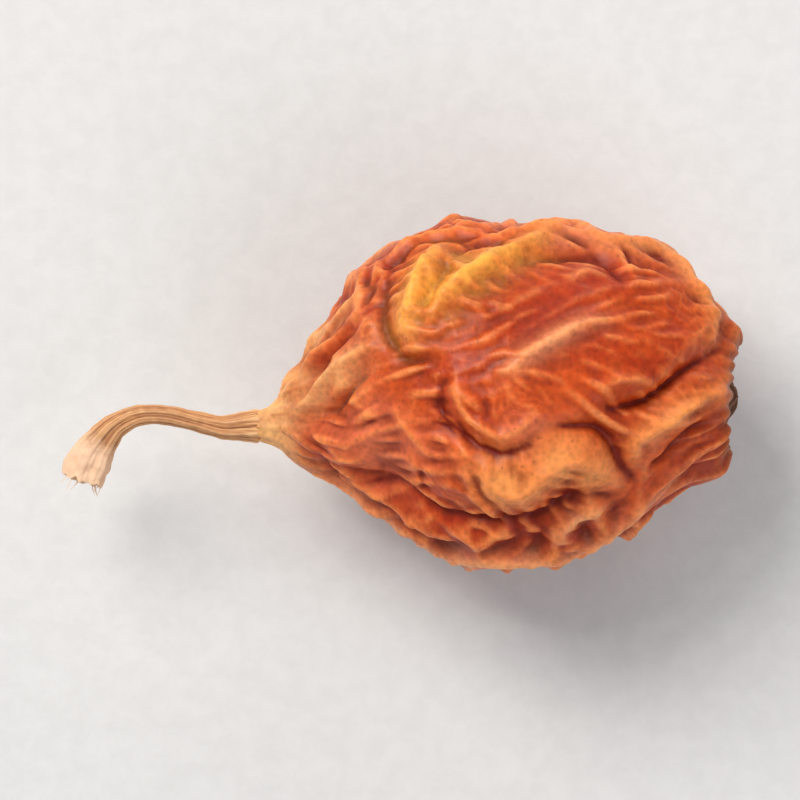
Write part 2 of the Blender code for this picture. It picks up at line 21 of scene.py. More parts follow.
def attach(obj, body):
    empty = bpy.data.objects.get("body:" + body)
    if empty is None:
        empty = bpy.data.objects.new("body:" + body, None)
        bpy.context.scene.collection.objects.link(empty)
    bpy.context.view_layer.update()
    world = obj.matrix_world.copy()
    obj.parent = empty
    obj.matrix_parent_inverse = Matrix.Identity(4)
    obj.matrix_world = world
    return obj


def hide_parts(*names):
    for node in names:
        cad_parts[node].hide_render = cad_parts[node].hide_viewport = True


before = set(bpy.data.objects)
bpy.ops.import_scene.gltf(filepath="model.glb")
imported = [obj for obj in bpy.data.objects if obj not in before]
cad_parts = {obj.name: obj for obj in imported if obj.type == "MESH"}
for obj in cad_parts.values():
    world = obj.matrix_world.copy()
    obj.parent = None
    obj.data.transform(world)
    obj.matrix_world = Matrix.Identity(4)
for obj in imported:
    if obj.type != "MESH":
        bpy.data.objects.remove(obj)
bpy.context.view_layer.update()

MM = 0.001
ROOT_BODY = "root"

Colour = tuple[float, float, float, float]
Place = tuple[float, float, float]
PlanPlace = tuple[float, float]

log = logging.getLogger("rowan_berry")


class Mark(Enum):
    """Names of the values that the meshes carry to their finishes. HOLLOW_SHADE and FLANK_SHADE carry painted
    shade, PALE_HIGHLIGHT painted highlight, LIT painted light, CREST and BLUSH_AND_HIGHLIGHT partly painted
    highlight, and DEEP partly painted shade.
    """

    CREST = "crest"
    HOLLOW_SHADE = "hollow"
    GOLD = "gold"
    TAN = "tan"
    PALE_HIGHLIGHT = "pale"
    LIT = "lit"
    BLUSH_AND_HIGHLIGHT = "blush_and_highlight"
    DEEP = "deep"
    FLANK_SHADE = "flank"
    NECK = "neck"
    PIT = "pit"
    ALONG = "along"


class Tint(Enum):
    """Colour that a drawn fold or a patch of the upper side takes. PALE_HIGHLIGHT lays painted highlight and
    LIT painted light, BLUSH_AND_HIGHLIGHT is partly painted highlight and DEEP partly painted shade; GOLD and
    TAN are the skin's own colours.
    """

    PLAIN = "plain"
    GOLD = "gold"
    TAN = "tan"
    PALE_HIGHLIGHT = "pale"
    LIT = "lit"
    BLUSH_AND_HIGHLIGHT = "blush_and_highlight"
    DEEP = "deep"


class End(Enum):
    """The two ends of the fruit, as the sign of X."""

    STALK = -1.0
    CALYX = 1.0


def smoothstep(low: float, high: float, value: np.ndarray) -> np.ndarray:
    """Rises smoothly from 0 to 1.

    Args:
        low: Value up to which the result is 0.
        high: Value from which the result is 1.
        value: Values to read.

    Returns:
        One share from 0 to 1 for each value.
    """
    share = np.clip((value - low) / (high - low), 0.0, 1.0)
    return share * share * (3.0 - 2.0 * share)


def smooth_route(points: list, steps: int) -> np.ndarray:
    """Puts points on a Catmull-Rom curve through the given ones.

    Args:
        points: Places that the curve passes through, in order.
        steps: Count of stretches between the points that are returned.

    Returns:
        Array of steps + 1 places.
    """
    keys = np.array([points[0], *points, points[-1]], dtype=float)
    spans = len(points) - 1
    route = []
    for step in range(steps + 1):
        place = min(step / steps * spans, spans - 1e-9)
        span = int(place)
        share = place - span
        before, start, end, after = keys[span:span + 4]
        route.append(0.5 * (
            2.0 * start
            + (end - before) * share
            + (2.0 * before - 5.0 * start + 4.0 * end - after) * share**2
            + (3.0 * start - before - 3.0 * end + after) * share**3
        ))
    return np.array(route)


def noise_at(points: np.ndarray, length: float, offset: float) -> np.ndarray:
    """Reads smooth noise.

    Args:
        points: Places, in millimetres.
        length: Size of the noise's bumps, in millimetres.
        offset: Number that picks another noise field.

    Returns:
        One value between about -1 and 1 for each place.
    """
    shift = Vector((offset, -offset, 0.5 * offset))
    return np.array([noise.noise(Vector(point) / length + shift) for point in points])


@dataclass(frozen=True)
class FruitForm:
    """Smooth form of the fruit before any fold, and where it lies."""

    half_length: float = 3.92
    half_width: float = 3.00
    half_height: float = 2.94
    centre: Place = (1.815, -0.050, 2.79)
    neck_taper: float = 0.70
    neck_power: float = 2.3
    neck_side: float = -0.50
    neck_drop: float = -0.28
    neck_sway: float = 0.17
    shoulder_side: float = 0.20
    far_taper: float = 0.04
    far_side: float = 0.60
    far_lift: float = 0.08
    spine: float = 0.55
    # Shares of its length and of its width past which a place of the plan view is held back
    upper_end: float = 0.985
    upper_edge: float = 0.999

    def middle_line(self, x: np.ndarray) -> tuple[np.ndarray, np.ndarray]:
        """Finds the middle line of the fruit.

        Args:
            x: Places along the fruit.

        Returns:
            Sideways place and height of the middle line at each x.
        """
        neck = np.clip(-x / self.half_length, 0.0, 1.0)
        far = np.clip(x / self.half_length, 0.0, 1.0)
        bow = 4.0 * self.shoulder_side * neck * (1.0 - neck)
        sway = self.neck_sway * np.sin(2.0 * math.pi * neck**2)
        side = self.neck_side * neck**5 + bow + sway + self.far_side * far**2 * (1.0 - far**6)
        lift = self.neck_drop * neck**3 + self.far_lift * far**2
        return side, lift

    def slimness(self, x: np.ndarray) -> np.ndarray:
        """Finds how slim the fruit is.

        Args:
            x: Places along the fruit.

        Returns:
            Share of the full width that is left at each x.
        """
        neck = np.clip(-x / self.half_length, 0.0, 1.0)
        far = np.clip(x / self.half_length, 0.0, 1.0)
        return 1.0 - self.neck_taper * neck**self.neck_power - self.far_taper * far**4

    def surface(self, polar: np.ndarray, turn: np.ndarray) -> np.ndarray:
        """Finds points of the smooth form.

        Args:
            polar: Angles from the stalk, 0, to the calyx, pi.
            turn: Angles round the fruit.

        Returns:
            Array of places.
        """
        x = -self.half_length * np.cos(polar)
        side, lift = self.middle_line(x)
        girth = np.sin(polar) * self.slimness(x)
        y = side + self.half_width * girth * np.cos(turn)
        z = lift + self.half_height * girth * np.sin(turn)
        return np.stack([x, y, z], axis=-1)

    def outward(self, points: np.ndarray) -> np.ndarray:
        """Finds the way out of the fruit.

        Args:
            points: Places on the form.

        Returns:
            Unit directions away from a short spine along the middle line.
        """
        side, lift = self.middle_line(points[:, 0])
        away = points - np.stack([self.spine * points[:, 0], side, lift], axis=-1)
        return away / np.linalg.norm(away, axis=1, keepdims=True)

    def on_upper_side(self, x: float, y: float) -> np.ndarray:
        """Lifts a place of the plan view to the upper side.

        Args:
            x: Place along the fruit.
            y: Place across it.

        Returns:
            The point of the smooth form that is seen there from above.
        """
        polar = math.acos(max(-self.upper_end, min(self.upper_end, -x / self.half_length)))
        side, _ = self.middle_line(np.array([-self.half_length * math.cos(polar)]))
        slim = float(self.slimness(np.array([x]))[0])
        reach = self.half_width * math.sin(polar) * slim
        turn = math.acos(max(-self.upper_edge, min(self.upper_edge, (y - float(side[0])) / reach)))
        return self.surface(np.array([polar]), np.array([turn]))[0]

    def end_distance(self, points: np.ndarray, end: End) -> np.ndarray:
        """Measures the distance from the axis of one end.

        Args:
            points: Places on the form.
            end: Which end of the fruit.

        Returns:
            Distance from that axis, and a large number on the other half.
        """
        side, lift = self.middle_line(np.array([end.value * self.half_length]))
        radius = np.hypot(points[:, 1] - side[0], points[:, 2] - lift[0])
        return np.where(points[:, 0] * end.value > 0.0, radius, 99.0)


@dataclass(frozen=True)
class PlanFold:
    """A fold of the upper side, drawn as seen from above."""

    height: float
    width: float
    places: tuple[PlanPlace, ...]
    tint: Tint = Tint.PLAIN


@dataclass(frozen=True)
class Patch:
    """A patch of colour on the upper side, with a soft and uneven edge."""

    place: PlanPlace
    reach: float
    tint: Tint
    strength: float = 1.0


@dataclass(frozen=True)
class Fold:
    """A fold that runs over the fruit: its height, half-width and line."""

    height: float
    width: float
    route: np.ndarray
    tint: Tint = Tint.PLAIN


# Ridges of Tint.PALE_HIGHLIGHT carry painted highlight along their lines, and those of Tint.LIT painted
# light.
UPPER_RIDGES = (
    # Ribs that spread from the stalk
    PlanFold(0.16, 0.13, ((-4.00, -0.20), (-3.64, 0.33), (-3.26, 0.78), (-2.85, 1.18),
                          (-2.45, 1.60)), Tint.TAN),
    PlanFold(0.20, 0.13, ((-3.60, -0.42), (-3.30, -0.15), (-3.02, 0.20), (-2.68, 0.50),
                          (-2.30, 0.78)), Tint.TAN),
    PlanFold(0.14, 0.20, ((-3.40, -0.66), (-3.06, -0.78), (-2.68, -1.05), (-2.35, -1.15))),
    PlanFold(0.10, 0.14, ((-2.00, -0.30), (-1.60, -0.85), (-1.30, -1.20))),
    # Far shoulder, next to the stalk end
    PlanFold(0.15, 0.14, ((-2.60, 2.00), (-2.20, 2.40), (-1.80, 2.66)), Tint.PALE_HIGHLIGHT),
    PlanFold(0.22, 0.15, ((-1.62, 0.80), (-1.70, 1.10), (-1.62, 1.42), (-1.50, 1.82), (-1.30, 2.25),
                          (-1.02, 2.66)), Tint.GOLD),
    PlanFold(0.24, 0.15, ((-1.35, 1.10), (-1.04, 1.56), (-0.60, 1.94), (-0.12, 2.23), (0.36, 2.47),
                          (0.80, 2.74)), Tint.GOLD),
    # Crown: a hooked crease, a straight one and the row of lumps below them
    PlanFold(0.12, 0.11, ((-0.86, 0.30), (-0.84, -0.10), (-0.72, -0.45), (-0.46, -0.73), (-0.07, -0.90),
                          (0.27, -0.76), (0.58, -0.45))),
    PlanFold(0.17, 0.17, ((-0.05, 0.18), (0.20, 0.36), (0.61, 0.64), (1.04, 0.88), (1.38, 1.05),
                          (1.80, 1.15)), Tint.PALE_HIGHLIGHT),
    PlanFold(0.18, 0.20, ((-0.75, -1.35), (-0.36, -1.55), (-0.05, -1.80), (0.32, -1.80), (0.75, -1.45),
                          (1.14, -1.30), (1.60, -1.40), (1.95, -1.62)), Tint.LIT),
    PlanFold(0.10, 0.16, ((1.10, 1.80), (1.43, 1.99), (1.80, 1.92))),
    # Rims along the near and the far edge
    PlanFold(0.26, 0.16, ((-3.40, -1.15), (-3.06, -1.55), (-2.65, -1.85), (-2.29, -1.98), (-1.91, -2.14),
                          (-1.42, -2.42), (-0.94, -2.66), (-0.30, -2.80), (0.40, -2.84), (1.10, -2.72),
                          (1.76, -2.38), (2.44, -1.92), (2.92, -1.53), (3.30, -1.15)), Tint.PALE_HIGHLIGHT),
    PlanFold(0.22, 0.16, ((0.30, 2.78), (0.75, 2.86), (1.30, 2.85), (1.60, 2.62), (2.05, 2.52),
                          (2.63, 2.40), (2.95, 2.15), (3.20, 1.80), (3.42, 1.40), (3.50, 1.05),
                          (3.46, 0.75)), Tint.LIT),
    PlanFold(0.14, 0.14, ((3.40, 2.10), (3.62, 1.75), (3.78, 1.35)), Tint.PALE_HIGHLIGHT),
    # Slanting folds at the calyx end
    PlanFold(0.13, 0.14, ((1.60, -0.05), (1.90, 0.08), (2.25, 0.12), (2.60, 0.02))),
    PlanFold(0.20, 0.13, ((2.30, -1.20), (2.30, -0.90), (2.63, -0.66), (3.02, -0.37), (3.31, -0.16),
                          (3.72, 0.20)), Tint.LIT),
    PlanFold(0.14, 0.12, ((0.90, -2.45), (1.28, -2.22), (1.75, -2.02)), Tint.PALE_HIGHLIGHT),
)
UPPER_GROOVES = (
    # Between the ribs at the stalk
    PlanFold(0.16, 0.10, ((-3.35, -0.45), (-3.02, -0.33), (-2.70, 0.00), (-2.35, 0.30))),
    PlanFold(0.12, 0.08, ((-3.45, 0.05), (-3.10, 0.48), (-2.77, 0.86), (-2.40, 1.15))),
    PlanFold(0.16, 0.11, ((-3.10, -0.98), (-2.85, -1.32), (-2.50, -1.50))),
    # Round the far shoulder
    PlanFold(0.17, 0.14, ((-1.95, 2.15), (-2.08, 1.65), (-2.10, 1.20), (-1.90, 0.70), (-1.55, 0.42),
                          (-1.20, 0.50))),
    PlanFold(0.13, 0.08, ((-1.40, 1.40), (-1.15, 1.86), (-0.88, 2.28))),
    PlanFold(0.14, 0.13, ((-0.90, 2.42), (-0.40, 2.62), (0.15, 2.66))),
    PlanFold(0.15, 0.13, ((0.20, 2.15), (0.85, 2.30), (1.50, 2.38), (1.86, 2.18), (2.08, 1.85))),
    # Below the hooked crease, and inside the near rim
    PlanFold(0.19, 0.15, ((-1.00, 0.10), (-1.14, -0.45), (-0.78, -0.86), (-0.36, -1.15), (0.00, -1.22),
                          (0.45, -1.05))),
    PlanFold(0.26, 0.20, ((-2.45, -1.50), (-1.90, -1.66), (-1.42, -1.92), (-1.04, -2.20), (-0.50, -2.34),
                          (0.15, -2.38), (0.60, -2.30), (1.10, -1.98), (1.57, -1.84), (1.90, -1.92))),
    # Slanting grooves at the calyx end
    PlanFold(0.26, 0.12, ((1.75, -0.38), (2.05, -0.38), (2.44, -0.28), (2.83, -0.02), (3.21, 0.36),
                          (3.62, 0.70))),
    PlanFold(0.20, 0.11, ((2.60, -1.35), (2.83, -1.20), (3.12, -0.90), (3.45, -0.57), (3.80, -0.30))),
    PlanFold(0.18, 0.12, ((0.85, -0.75), (1.20, -0.72), (1.60, -0.75), (1.90, -1.00), (2.05, -1.35),
                          (2.35, -1.62))),
)
UPPER_PATCHES = (
    Patch((-1.25, 1.75), 0.62, Tint.GOLD, 0.85),
    Patch((-0.75, 2.20), 0.45, Tint.GOLD, 0.60),
    # Pinkish patches: on the left the skin's own pink tone, partly painted highlight; along the top edge,
    # from (0.30, 2.95) to (2.10, 2.60), painted highlight.
    Patch((-1.55, 1.05), 0.25, Tint.BLUSH_AND_HIGHLIGHT, 0.9),
    Patch((-2.30, -0.90), 0.85, Tint.BLUSH_AND_HIGHLIGHT, 0.75),
    Patch((-1.40, -1.10), 0.60, Tint.BLUSH_AND_HIGHLIGHT, 0.45),
    Patch((0.30, 2.95), 0.60, Tint.BLUSH_AND_HIGHLIGHT, 0.7),
    Patch((1.20, 2.72), 0.55, Tint.BLUSH_AND_HIGHLIGHT, 0.9),
    Patch((2.10, 2.60), 0.50, Tint.BLUSH_AND_HIGHLIGHT, 0.5),
    Patch((0.30, -0.75), 0.35, Tint.BLUSH_AND_HIGHLIGHT, 0.5),
    Patch((-3.50, 0.15), 0.55, Tint.TAN, 0.9),
    Patch((-2.80, 0.35), 0.40, Tint.TAN, 0.8),
    Patch((-0.05, -1.72), 0.55, Tint.LIT, 1.0),
    Patch((0.95, -1.35), 0.50, Tint.LIT, 1.0),
    Patch((1.55, -1.50), 0.42, Tint.LIT, 0.9),
    # Deep red patches: the seven from (-1.42, 0.42) to (3.20, 0.35) lie in grooves and the last two on the
    # near rim, and are painted shade; the five from (1.40, 2.15) to (-0.30, 0.40) darken the crown's red.
    Patch((-1.42, 0.42), 0.35, Tint.DEEP, 0.9),
    Patch((-2.25, 1.30), 0.45, Tint.DEEP, 0.5),
    Patch((-0.60, -2.30), 0.45, Tint.DEEP, 0.8),
    Patch((0.30, -2.42), 0.50, Tint.DEEP, 0.9),
    Patch((1.25, -1.98), 0.35, Tint.DEEP, 0.8),
    Patch((2.10, -0.40), 0.40, Tint.DEEP, 0.5),
    Patch((3.20, 0.35), 0.40, Tint.DEEP, 0.6),
    Patch((1.40, 2.15), 0.70, Tint.DEEP, 0.90),
    Patch((2.05, 1.85), 0.45, Tint.DEEP, 0.60),
    Patch((0.40, 1.20), 1.00, Tint.DEEP, 0.58),
    Patch((1.70, 1.20), 0.90, Tint.DEEP, 0.25),
    Patch((-0.30, 0.40), 0.60, Tint.DEEP, 0.25),
    Patch((-0.30, -2.95), 0.60, Tint.DEEP, 0.55),
    Patch((-1.60, -2.45), 0.45, Tint.DEEP, 0.35),
)


@dataclass
class PointGrid:
    """Points of a mesh sorted into the boxes of a grid, so that the ones near a place are found fast."""

    points: np.ndarray
    side: float = 0.6
    low: np.ndarray = field(init=False)
    counts: np.ndarray = field(init=False)
    order: np.ndarray = field(init=False)
    starts: np.ndarray = field(init=False)

    def __post_init__(self) -> None:
        """Sorts the points."""
        self.low = self.points.min(axis=0)
        boxes = np.floor((self.points - self.low) / self.side).astype(int)
        self.counts = boxes.max(axis=0) + 1
        keys = (boxes[:, 0] * self.counts[1] + boxes[:, 1]) * self.counts[2] + boxes[:, 2]
        self.order = np.argsort(keys, kind="stable")
        self.starts = np.searchsorted(keys[self.order], np.arange(int(np.prod(self.counts)) + 1))

    def near(self, low: np.ndarray, high: np.ndarray) -> np.ndarray:
        """Finds the points in the boxes of the grid that a given box touches.

        Args:
            low: Lowest corner of the given box.
            high: Highest corner of the given box.

        Returns:
            Indices of the points.
        """
        first = np.clip(np.floor((low - self.low) / self.side).astype(int), 0, self.counts - 1)
        last = np.clip(np.floor((high - self.low) / self.side).astype(int), 0, self.counts - 1)
        found = []
        for along in range(first[0], last[0] + 1):
            for across in range(first[1], last[1] + 1):
                column = (along * self.counts[1] + across) * self.counts[2]
                found.append(self.order[self.starts[column + first[2]]:self.starts[column + last[2] + 1]])
        return np.concatenate(found)


@dataclass
class SkinRelief:
    """Everything that stands out from the smooth form or lies below it."""

    form: FruitForm
    # Skin drawn out round the stalk, and the socket that the stalk stands in
    neck_draw: float = 0.46
    neck_fade: float = 0.34
    neck_lip: float = 0.08
    neck_lip_fade: float = 0.13
    neck_pleats: int = 11
    neck_pleat_height: float = 0.022
    neck_ring: float = 0.30
    neck_ring_width: float = 0.25
    neck_ring_share: float = 0.6
    neck_gather: float = 0.29
    gather_reach: float = 0.95
    socket_radius: float = 0.225
    socket_rim: float = 0.06
    socket_depth: float = 0.45
    # Bulge of the calyx end, and the pit in it
    far_draw: float = 0.26
    far_fade: float = 1.5
    pit_radius: float = 0.80
    pit_uneven: float = 0.06
    pit_rim: float = 0.16
    pit_depth: float = 0.66
    pit_lip: float = 0.10
    pit_lip_width: float = 0.25
    pit_pleats: int = 23
    pit_pleat_height: float = 0.035
    pit_wall_width: float = 0.30
    # Soft lumps of the dried flesh
    lump_height: float = 0.15
    lump_length: float = 2.5
    # Net of folds all over the skin
    cell_count: int = 54
    cell_seed: int = 41
    cell_tries: int = 30
    cell_stretch: float = 0.72
    cell_warp: float = 0.34
    cell_warp_length: float = 1.3
    net_ridge: float = 0.20
    net_ridge_width: float = 0.15
    net_hollow: float = 0.14
    net_hollow_width: float = 0.45
    net_on_top: float = 0.22
    # Short wrinkles between the folds
    wrinkle_count: int = 460
    wrinkle_seed: int = 19
    wrinkle_wave: float = 0.95
    wrinkle_breadth: float = 0.42
    wrinkle_length: float = 0.80
    wrinkle_lean: float = 2.2
    wrinkle_lean_length: float = 2.2
    wrinkle_spread: float = 1.3
    wrinkle_height: float = 0.055
    wrinkle_sharpness: float = 0.9
    packet_reach: float = 2.6
    wrinkle_on_top: float = 0.40
    # Single folds
    neck_folds: int = 13
    calyx_folds: int = 12
    side_folds: int = 40
    side_fold_steps: int = 6
    side_fold_step: float = 0.20
    side_fold_tries: int = 24
    fold_reach: float = 5.0
    groove_beside: float = 0.075
    fold_seed: int = 7
    crest_round: float = 0.055
    upper_gain: float = 1.25
    calm_beside: float = 0.80
    calm_reach: float = 1.5
    # Highest that folds stand where they cross, and where they begin to be held back
    height_limit: float = 0.42
    limit_start: float = 0.20
    # Where the relief fades out: distances from the stalk and past the pit's edge, and shares of the height
    calm_at_stalk: tuple[float, float] = (0.36, 0.85)
    calm_at_pit: tuple[float, float] = (-0.25, 0.35)
    fine_at_stalk: tuple[float, float] = (0.30, 0.50)
    fine_at_pit: float = -0.35
    flat_below: tuple[float, float] = (0.80, 1.0)
    weaker_on_top: tuple[float, float] = (0.15, 0.75)
    # Fine crinkles and the finest net, between the wrinkles
    crinkle_count: int = 3000
    crinkle_seed: int = 5
    crinkle_wave: float = 0.36
    crinkle_breadth: float = 0.17
    crinkle_length: float = 0.46
    crinkle_height: float = 0.026
    fine_cells: int = 1500
    fine_seed: int = 77
    fine_ridge: float = 0.022
    fine_ridge_width: float = 0.035
    fine_warp: float = 0.10
    fine_warp_length: float = 0.45
    calm_spot: PlanPlace = (1.10, 1.60)
    calm_radius: float = 1.05
    calm_share: float = 0.65

    def crest(self, distance: np.ndarray, width: float) -> np.ndarray:
        """Gives the cross-section of a fold.

        Args:
            distance: Distances from the fold's line.
            width: Half-width of the fold at its foot.

        Returns:
            1 on the line, with hollow flanks as skin draped over an edge.
        """
        rounded = np.sqrt(distance * distance + self.crest_round**2) - self.crest_round
        return np.exp(-rounded / width)

    def fold_strength(self, where: PointGrid, route: np.ndarray, width: float) -> np.ndarray:
        """Measures how strong one fold is.

        Args:
            where: Points of the mesh.
            route: Line of the fold.
            width: Half-width of the fold.

        Returns:
            1 on the line, less across it and towards its two ends.
        """
        strength = np.zeros(len(where.points))
        reach = self.fold_reach * width
        near = where.near(route.min(axis=0) - reach, route.max(axis=0) + reach)
        close = where.points[near]
        best = np.zeros(len(close))
        spans = len(route) - 1
        for span in range(spans):
            start = route[span]
            along = route[span + 1] - start
            share = np.clip((close - start) @ along / max(along @ along, 1e-9), 0.0, 1.0)
            distance = np.linalg.norm(close - start - share[:, None] * along, axis=1)
            taper = np.sin(math.pi * (span + share) / spans) ** 0.6
            best = np.maximum(best, taper * self.crest(distance, width))
        strength[near] = best
        return strength

    def spread_cells(self) -> np.ndarray:
        """Spreads the middles of the net's meshes, so that no two are close together."""
        draw = random.Random(self.cell_seed)
        cells: list[np.ndarray] = []
        for _ in range(self.cell_count):
            best, best_gap = None, -1.0
            for _ in range(self.cell_tries):
                polar = math.acos(1.0 - 2.0 * draw.random())
                turn = draw.random() * 2.0 * math.pi
                point = self.form.surface(np.array([polar]), np.array([turn]))[0]
                gap = min((float(np.linalg.norm(point - other)) for other in cells), default=99.0)
                if gap > best_gap:
                    best, best_gap = point, gap
            cells.append(best)
        return np.array(cells)

    def net_height(self, points: np.ndarray) -> np.ndarray:
        """Raises a net of ridges round hollow meshes.

        Args:
            points: Places on the smooth form.

        Returns:
            Height of the net at each place.
        """
        warp = np.stack(
            [noise_at(points, self.cell_warp_length, 10.0 * axis + 3.0) for axis in range(3)], axis=-1
        )
        stretch = np.array([self.cell_stretch, 1.0, 1.0])
        placed = (points + self.cell_warp * warp) * stretch
        first, second = self.two_nearest(placed, self.spread_cells() * stretch)
        border = 0.5 * (second - first)
        strength = 0.62 + 0.55 * noise_at(points, 1.9, 57.0)
        ridge = self.net_ridge * np.clip(strength, 0.1, 1.0) * self.crest(border, self.net_ridge_width)
        hollow = self.net_hollow * (1.0 - np.exp(-(border / self.net_hollow_width) ** 2))
        return ridge - hollow

    @staticmethod
    def two_nearest(points: np.ndarray, cells: np.ndarray) -> tuple[np.ndarray, np.ndarray]:
        """Finds the two nearest cells.

        Args:
            points: Places to measure from.
            cells: Middles of the cells.

        Returns:
            Distance to the nearest cell and to the next one.
        """
        tree = kdtree.KDTree(len(cells))
        for index, cell in enumerate(cells):
            tree.insert(cell, index)
        tree.balance()
        found = np.array([[hit[2] for hit in tree.find_n(point, 2)] for point in points])
        return found[:, 0], found[:, 1]

    def packets(
        self, where: PointGrid, count: int, seed: int, wave: float, breadth: float, length: float
    ) -> np.ndarray:
        """Adds up many small wave packets that lean the same way as their neighbours.

        Args:
            where: Points of the mesh.
            count: How many packets.
            seed: Seed of their places.
            wave: Distance from crest to crest.
            breadth: Reach of a packet across its crests.
            length: Reach of a packet along its crests.

        Returns:
            Sum of the packets at each point.
        """
        draw = random.Random(seed)
        total = np.zeros(len(where.points))
        reach = self.packet_reach * length
        for _ in range(count):
            polar = math.acos(1.0 - 2.0 * draw.random())
            turn = 2.0 * math.pi * draw.random()
            middle, ahead, beside = self.form.surface(
                np.array([polar, polar + 0.01, polar]), np.array([turn, turn, turn + 0.01])
            )
            ahead = (ahead - middle) / np.linalg.norm(ahead - middle)
            beside = (beside - middle) / np.linalg.norm(beside - middle)
            lean_noise = float(noise_at(middle[None, :], self.wrinkle_lean_length, 5.0)[0])
            slant = self.wrinkle_lean * lean_noise * math.sin(polar) ** 2 + draw.gauss(0.0, 0.15)
            across = math.cos(slant) * beside + math.sin(slant) * ahead
            pace = 2.0 * math.pi / (wave * draw.uniform(0.85, 1.2))
            phase = 2.0 * math.pi * draw.random()
            near = where.near(middle - reach, middle + reach)
            offset = where.points[near] - middle
            sideways = offset @ across
            lengthways = np.sum(offset * offset, axis=1) - sideways**2
            fade = np.exp(-0.5 * ((sideways / breadth) ** 2 + lengthways / length**2))
            total[near] += fade * np.cos(pace * sideways + phase)
        return total

    def wrinkles(self, where: PointGrid) -> np.ndarray:
        """Raises the short wrinkles: lengthwise near the two ends and any way round the middle.

        Args:
            where: Points of the mesh.

        Returns:
            Height of the wrinkles at each point.
        """
        wave = self.packets(
            where, self.wrinkle_count, self.wrinkle_seed, self.wrinkle_wave, self.wrinkle_breadth,
            self.wrinkle_length,
        )
        spread = np.tanh(0.5 * wave / self.wrinkle_spread) * 2.0
        patches = np.clip(0.65 + 0.9 * noise_at(where.points, 2.0, 83.0), 0.15, 1.3)
        return self.wrinkle_height * patches * (np.exp(self.wrinkle_sharpness * spread) - 1.4)

    def end_folds(self) -> list[Fold]:
        """Lays folds that run out from the stalk and from the calyx, all round."""
        draw = random.Random(self.fold_seed)
        folds = []
        for count, end, start, shortest, longest in (
            (self.neck_folds, End.STALK, 0.24, 0.75, 1.45),
            (self.calyx_folds, End.CALYX, 0.40, 0.75, 1.25),
        ):
            for index in range(count):
                turn = 2.0 * math.pi * (index + draw.uniform(-0.25, 0.25)) / count
                stop = draw.uniform(shortest, longest)
                bend = draw.uniform(-0.35, 0.35)
                height = draw.uniform(0.12, 0.21)
                width = draw.uniform(0.15, 0.22)
                from_pole = np.linspace(start, stop, 9)
                polar = from_pole if end is End.STALK else math.pi - from_pole
                swing = turn + bend * (from_pole - start) + 0.06 * np.sin(5.0 * from_pole + 7.0 * turn)
                share = 0.35 if math.sin(turn) > 0.25 else 1.0
                folds.append(Fold(height * share, width, self.form.surface(polar, swing)))
        return folds

    def flank_folds(self) -> tuple[list[Fold], list[Fold]]:
        """Lays curved folds on the sides and below, well apart, each with a groove beside it.

        Returns:
            The ridges and the grooves.
        """
        draw = random.Random(self.fold_seed + 1)
        ridges: list[Fold] = []
        grooves: list[Fold] = []
        starts: list[np.ndarray] = []
        for _ in range(self.side_folds):
            best, best_gap = None, -1.0
            for _ in range(self.side_fold_tries):
                polar = draw.uniform(0.45, math.pi - 0.55)
                turn = draw.uniform(-1.18, 0.18) * math.pi
                place = self.form.surface(np.array([polar]), np.array([turn]))[0]
                gap = min((float(np.linalg.norm(place - other)) for other in starts), default=99.0)
                if gap > best_gap:
                    best, best_gap = (polar, turn, place), gap
            starts.append(best[2])
            heading = draw.gauss(0.0, 0.75)
            bend = draw.gauss(0.0, 0.28)
            steps = np.arange(self.side_fold_steps) - 0.5 * (self.side_fold_steps - 1)
            courses = heading + bend * steps
            polars = best[0] + self.side_fold_step * steps * np.cos(courses)
            turns = best[1] + self.side_fold_step * steps * np.sin(courses)
            height = draw.uniform(0.12, 0.24)
            width = draw.uniform(0.11, 0.17)
            side = draw.choice((-1.0, 1.0)) * self.groove_beside
            ridges.append(Fold(height, width, self.form.surface(polars, turns)))
            groove_route = self.form.surface(
                polars - side * math.sin(heading), turns + side * math.cos(heading)
            )
            grooves.append(Fold(0.85 * height, 0.9 * width, groove_route))
        return ridges, grooves

    def drawn_folds(self, plans: tuple[PlanFold, ...]) -> list[Fold]:
        """Lifts drawn folds to the upper side.

        Args:
            plans: Folds as seen from above.

        Returns:
            The same folds as lines on the smooth form.
        """
        return [
            Fold(
                self.upper_gain * plan.height,
                plan.width,
                smooth_route([self.form.on_upper_side(x, y) for x, y in plan.places], 4 * len(plan.places)),
                plan.tint,
            )
            for plan in plans
        ]

    def blended(self, where: PointGrid, folds: list[Fold]) -> np.ndarray:
        """Joins folds so that they merge where they meet.

        Args:
            where: Points of the mesh.
            folds: The folds to join.

        Returns:
            Height of the joined folds at each point.
        """
        power = np.zeros(len(where.points))
        for fold in folds:
            power += (fold.height * self.fold_strength(where, fold.route, fold.width)) ** 3
        return power ** (1 / 3)

    def strongest(self, where: PointGrid, folds: list[Fold], spread: float) -> np.ndarray:
        """Measures how close each point is to any of some folds.

        Args:
            where: Points of the mesh.
            folds: The folds.
            spread: How much wider than each fold its reach is.

        Returns:
            1 on those folds and 0 away from them.
        """
        strength = np.zeros(len(where.points))
        for fold in folds:
            strength = np.maximum(strength, self.fold_strength(where, fold.route, spread * fold.width))
        return strength

